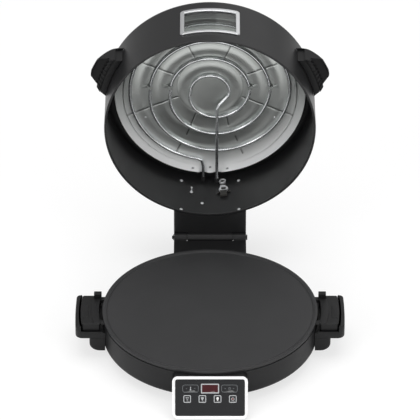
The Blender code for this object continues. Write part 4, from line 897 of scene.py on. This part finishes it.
wing_profile = rounded([(0.1590, 0.0808), (0.1660, 0.0806), (0.1723, 0.0785), (0.1756, 0.0760),
                        (0.1808, 0.0700), (0.1868, 0.0610), (0.1929, 0.0500), (0.1929, 0.0482),
                        (0.1914, 0.0482), (0.1900, 0.0512), (0.1764, 0.0530), (0.1754, 0.0482),
                        (0.1697, 0.0482), (0.1697, 0.0790), (0.1590, 0.0790)],
                       [0.0004, 0.0060, 0.0060, 0.0060, 0.0080, 0.0100, 0.0012, 0.0005, 0.0005,
                        0.0010, 0.0008, 0.0006, 0.0005, 0.0008, 0.0004], closed=True)
mount_profile = rounded([(0.1591, 0.0786), (0.1591, 0.0498), (0.1693, 0.0498), (0.1693, 0.0786)],
                        0.0006, closed=True)
# The ribs are half waves along the wall, max(sin(2 pi y / pitch), 0), on the points of the root.
wing = along_lid(wing_profile, WING_FRONT, 0.0, 120)
root = np.abs(wing_profile[:, 0] - RIB_RADIUS) < 0.0012
ribs = np.maximum(np.sin(2 * np.pi * wing[..., 1] / RIB_PITCH), 0)
wing += (ribs * (root & (wing_profile[:, 1] < RIB_HEIGHT)))[..., None] * RIB_DEPTH
mount = along_lid(mount_profile, MOUNT_FRONT, MOUNT_SHORTER, 40)
for side, label in SIDES:
    for name, shape in (("", wing), ("mount_", mount)):
        piece = surface("wing_" + name + label, on_lid(shape * [side, 1, 1]), caps=True)
        fit(piece, nylon, "lid", "black_plastic", "lid_handle_" + name + label)


# Control box and panel. A nylon box is screwed to the front of the bowl. On its slope a silver
# bezel frames a gloss fascia, with four keys, two rockers and a display window.
PANEL_Y = -0.18225
PANEL_Z = -0.0288
PANEL_LEAN = np.radians(33.5)
BOX_WALL = 0.0020
BOX_LEVEL = -0.0021
BOX_BACK = 0.1607
FACE = -0.0019
INK_BACK = FACE - 0.0001
INK_FACE = FACE + 0.00005
CAP_DEPTH = 0.0016
PANE_DEPTH = 0.0006
KEY_ACROSS = [-0.03315, -0.01105, 0.01105, 0.03315]
KEY_LEVEL = -0.0019
PAD_ACROSS = 0.0283
PAD_LEVEL = 0.0132


def on_panel(points):
    """From the panel's own axes, Y up its slope and Z out of it, to where it stands."""
    x, y, z = np.moveaxis(np.asarray(points, float), -1, 0)
    return np.stack([x, PANEL_Y + y * np.sin(PANEL_LEAN) - z * np.cos(PANEL_LEAN),
                     PANEL_Z + y * np.cos(PANEL_LEAN) + z * np.sin(PANEL_LEAN)], -1)


# Injection-moulded polycarbonate, dyed black and polished like piano lacquer.
gloss = new_material("gloss_black_polycarbonate", Roughness=0.12, IOR=1.58)
mottled(gloss, "#1d1e20", "#212224", size=0.030, detail=2.0)

# Dark red acrylic over the display, smooth and deep.
acrylic = new_material("dark_red_acrylic", Roughness=0.08, IOR=1.49)
mottled(acrylic, "#3d1418", "#4b191e", size=0.012, detail=2.0)

# Vacuum-metallised and lacquered: a pale silver, milky with lacquer, with a trace of metal in it.
silver = new_material("metallised_silver_lacquer", Metallic=0.15, Roughness=0.30)
mottled(silver, "#fbfbfb", "#fefefe", size=0.020, detail=2.0)

# The box's two middle rows go straight back, and stop on the bowl: y = -sqrt(back ** 2 - x ** 2).
box_layers = [(depth, BOX_LEVEL) for depth in (0, 0, BOX_WALL, BOX_WALL)]
box = on_panel(layered(0.1096, 0.0616, 0.0076, box_layers, sides=12))
box[1:3, :, 1] = -np.sqrt(BOX_BACK ** 2 - box[1:3, :, 0] ** 2)
fit(surface("panel_box", box, ring=True), nylon, "base", "black_plastic", "control_box")
bezel_profile = [(0.0, -0.0020), (0.0, -0.0008), (0.0003, -0.0003), (0.0009, 0.0),
                 (0.0030, 0.0), (0.0038, -0.0003), (0.0043, -0.0009), (0.0043, -0.0020)]
bezel = surface("silver_bezel", on_panel(layered(0.110, 0.062, 0.0078, bezel_profile)), ring=True)
fit(bezel, silver, "base", "silver_trim", "panel_bezel")
repaint("panel_fascia", gloss)
repaint("control_board", gloss)

# Screen-printed ink behind a clear film: flat greys, white and a dull red, with no gloss.
inks = []
for name, one, other in (("light_grey_ink", "#b9bbbd", "#aeb0b2"),
                         ("white_ink", "#f0f0ee", "#e4e4e2"),
                         ("dim_grey_ink", "#6f7274", "#66696b"),
                         ("dull_red_ink", "#7c3a36", "#6f322f")):
    inks.append(new_material(name, Roughness=0.55, IOR=1.5))
    mottled(inks[-1], one, other, size=0.0008, detail=1.0)
light_grey, white, dim_grey, dull_red = inks


def printed(name, shapes, place, ink, body, slot="key_film"):
    """Closed outlines about a middle (u, v), raised 0.05 mm as a film of ink on the face."""
    outlines = [np.array(shape, float) + place for shape in shapes]
    cells = [closed(on_panel(stacked([(outline, INK_BACK), (outline, INK_FACE)])))
             for outline in outlines]
    fit(joined(name, cells), ink, body, slot)


def framed(name, size, corner, line, place, ink, body, slot="key_film"):
    """A printed line of one width inside a rounded rectangle."""
    layers = [(0.0, INK_BACK), (0.0, INK_FACE), (line, INK_FACE), (line, INK_BACK)]
    ring = layered(*size, corner, layers) + [*place, 0]
    fit(surface(name, on_panel(ring), ring=True), ink, body, slot)


def capped(name, size, corner, depth, place):
    """A moulded cap: straight sides up from its depth, then an edge broken over 0.3 mm."""
    layers = [(0.0, FACE - depth), (0.0, FACE - 0.0003), (0.0001, FACE - 0.0001), (0.0003, FACE)]
    return surface(name, on_panel(layered(*size, corner, layers) + [*place, 0]), caps=True)


def hoop(outer, inner, start=0.0, sweep=2 * np.pi - 0.05, steps=32):
    """A ring with a hair's gap, so that its outline stays one loop."""
    turn = start + np.linspace(0, sweep, steps)
    return np.concatenate([arc(outer, turn), arc(inner, turn)[::-1]])


glyphs = [[bar(-0.0026, 0.0014, 0.0026, 0.0022), bar(-0.0016, -0.0004, 0.0016, 0.0003),
           bar(-0.0004, -0.0026, 0.0004, -0.0004)],
          [[(-0.0024, 0.0020), (0.0, -0.0028), (0.0024, 0.0020), (0.0, 0.0027)]],
          [disc(0.0019, 0.0, 0.0008), bar(-0.0009, -0.0026, 0.0009, -0.0013)],
          [hoop(0.0024, 0.0017, np.pi * 0.68, np.pi * 1.64), bar(-0.0004, 0.0002, 0.0004, 0.0028)]]
for number, (across, glyph) in enumerate(zip(KEY_ACROSS, glyphs), 1):
    place = (across, KEY_LEVEL)
    body = "key_%d" % number
    fit(capped("gloss_" + body, (0.0112, 0.0112), 0.0020, CAP_DEPTH, place), gloss, body,
        "key_film", body)
    framed("outline_" + body, (0.0110, 0.0110), 0.0019, 0.0012, place, light_grey, body)
    printed("sign_" + body, glyph, place, white if number == 3 else light_grey, body)
printed("power_dot", [disc(0.0015)], place, dull_red, "key_4")

pad_signs = {"left": [(dim_grey, [bar(-0.0066, -0.0003, -0.0050, 0.0004)]),
                      (light_grey, [bar(-0.0005, -0.0012, 0.0005, 0.0026),
                                    disc(0.0010, 0.0, -0.0018)]),
                      (dim_grey, [bar(0.0052, -0.0003, 0.0070, 0.0004),
                                  bar(0.00575, 0.0005, 0.00645, 0.0010)])],
             "right": [(dim_grey, [bar(-0.0070, -0.0003, -0.0052, 0.0004)]),
                       (dim_grey, [hoop(0.0019, 0.0014), bar(-0.0003, 0.0, 0.0003, 0.0013)]),
                       (dim_grey, [bar(0.0050, -0.0003, 0.0068, 0.0004)])]}
for side, label in SIDES:
    place = (side * PAD_ACROSS, PAD_LEVEL)
    body = "rocker_" + label
    fit(capped("gloss_" + body, (0.0236, 0.0113), 0.0030, CAP_DEPTH, place), gloss, body,
        "key_film", body)
    framed("outline_" + body, (0.0235, 0.0112), 0.0029, 0.0007, place, dim_grey, body)
    for number, (ink, shapes) in enumerate(pad_signs[label]):
        printed("sign_%s_%d" % (body, number), shapes, place, ink, body)

place = (0.0, PAD_LEVEL)
fit(capped("red_window", (0.0267, 0.0144), 0.0012, PANE_DEPTH, place), acrylic, "base",
    "display_red", "display_window")
framed("window_line", (0.0265, 0.0142), 0.0011, 0.0016, place, light_grey, "base", "display_red")
repaint("cord_gland", rubber)


# Studio. A wide white floor under an even white surround, with soft boxes above, in front, at both
# sides and behind.
FLOOR = -0.0589
FLOOR_EDGES = (-4, -4, 4, 4)
CUT_OUT = 0.65
SURROUND = 0.42
CAMERA_PLACE = (0, -4.931, 3.4192)
CAMERA_DOWN = 33.32
CAMERA_LENS = 346.0

# Matt white paper with a faint tooth. To the camera it is over half plain white, as on a cut-out,
# which softens the shadow and gives the oven no more light.
paper = new_material("white_paper_sweep", Roughness=0.90)
mottled(paper, "#f8f8f8", "#fbfbfb", size=0.004, detail=2.0)
seen = node(paper, "LightPath").outputs["Is Camera Ray"]
share = node(paper, "Math", {0: seen, 1: CUT_OUT}, operation="MULTIPLY")
glow = node(paper, "Emission", {"Color": linear("#ffffff"), "Strength": 1.06})
lit = paper.node_tree.nodes["Principled BSDF"].outputs["BSDF"]
mix = node(paper, "MixShader", {"Fac": share.outputs["Value"], 1: lit, 2: glow.outputs["Emission"]})
out = paper.node_tree.nodes["Material Output"].inputs["Surface"]
paper.node_tree.links.new(mix.outputs["Shader"], out)
corners = [(x, y, FLOOR) for x, y in bar(*FLOOR_EDGES)]
floor = mesh_piece("studio_floor", corners, [(0, 1, 2, 3)])
floor.data.materials.append(paper)

# The air is plain white to the camera and dimmer to the oven.
scene = bpy.context.scene
world = scene.world = bpy.data.worlds.new("studio_air")
world.use_nodes = True
world.node_tree.nodes.clear()
surround = node(world, "Background", {"Color": linear("#ffffff"), "Strength": SURROUND})
backdrop = node(world, "Background", {"Color": linear("#ffffff")})
seen = node(world, "LightPath").outputs["Is Camera Ray"]
choice = node(world, "MixShader", {"Fac": seen, 1: surround.outputs["Background"],
                                   2: backdrop.outputs["Background"]})
node(world, "OutputWorld", {"Surface": choice.outputs["Shader"]})


def lamp(name, place, aim, size, power):
    """A square soft box that faces the point it is aimed at."""
    light = bpy.data.lights.new(name, "AREA")
    light.size = size
    light.energy = power
    holder = bpy.data.objects.new(name, light)
    scene.collection.objects.link(holder)
    holder.location = place
    ahead = np.array(aim, float) - place
    across = np.hypot(ahead[0], ahead[1])
    holder.rotation_euler = (np.arctan2(across, -ahead[2]), 0, np.arctan2(-ahead[0], ahead[1]))


lamp("overhead_box", (0, 0.3, 2.6), aim=(0, 0, 0), size=2.4, power=38)
lamp("left_box", (-1.9, -1.6, 1.7), aim=(0, 0, 0), size=1.4, power=19)
lamp("right_box", (1.9, -1.6, 1.7), aim=(0, 0, 0), size=1.4, power=17)
lamp("rear_box", (1.1, 2.6, 1.75), aim=(0, 0.3, 0.2), size=1.8, power=4)
lamp("front_box", (0, -3.4, 0.55), aim=(0, 0.3, 0.15), size=1.1, power=12)

camera = scene.camera = bpy.data.objects.new("camera", bpy.data.cameras.new("camera"))
scene.collection.objects.link(camera)
camera.location = CAMERA_PLACE
camera.rotation_euler = (np.radians(90 - CAMERA_DOWN), 0, 0)
camera.data.lens = CAMERA_LENS
camera.data.clip_end = 50
scene.view_settings.view_transform = "Standard"
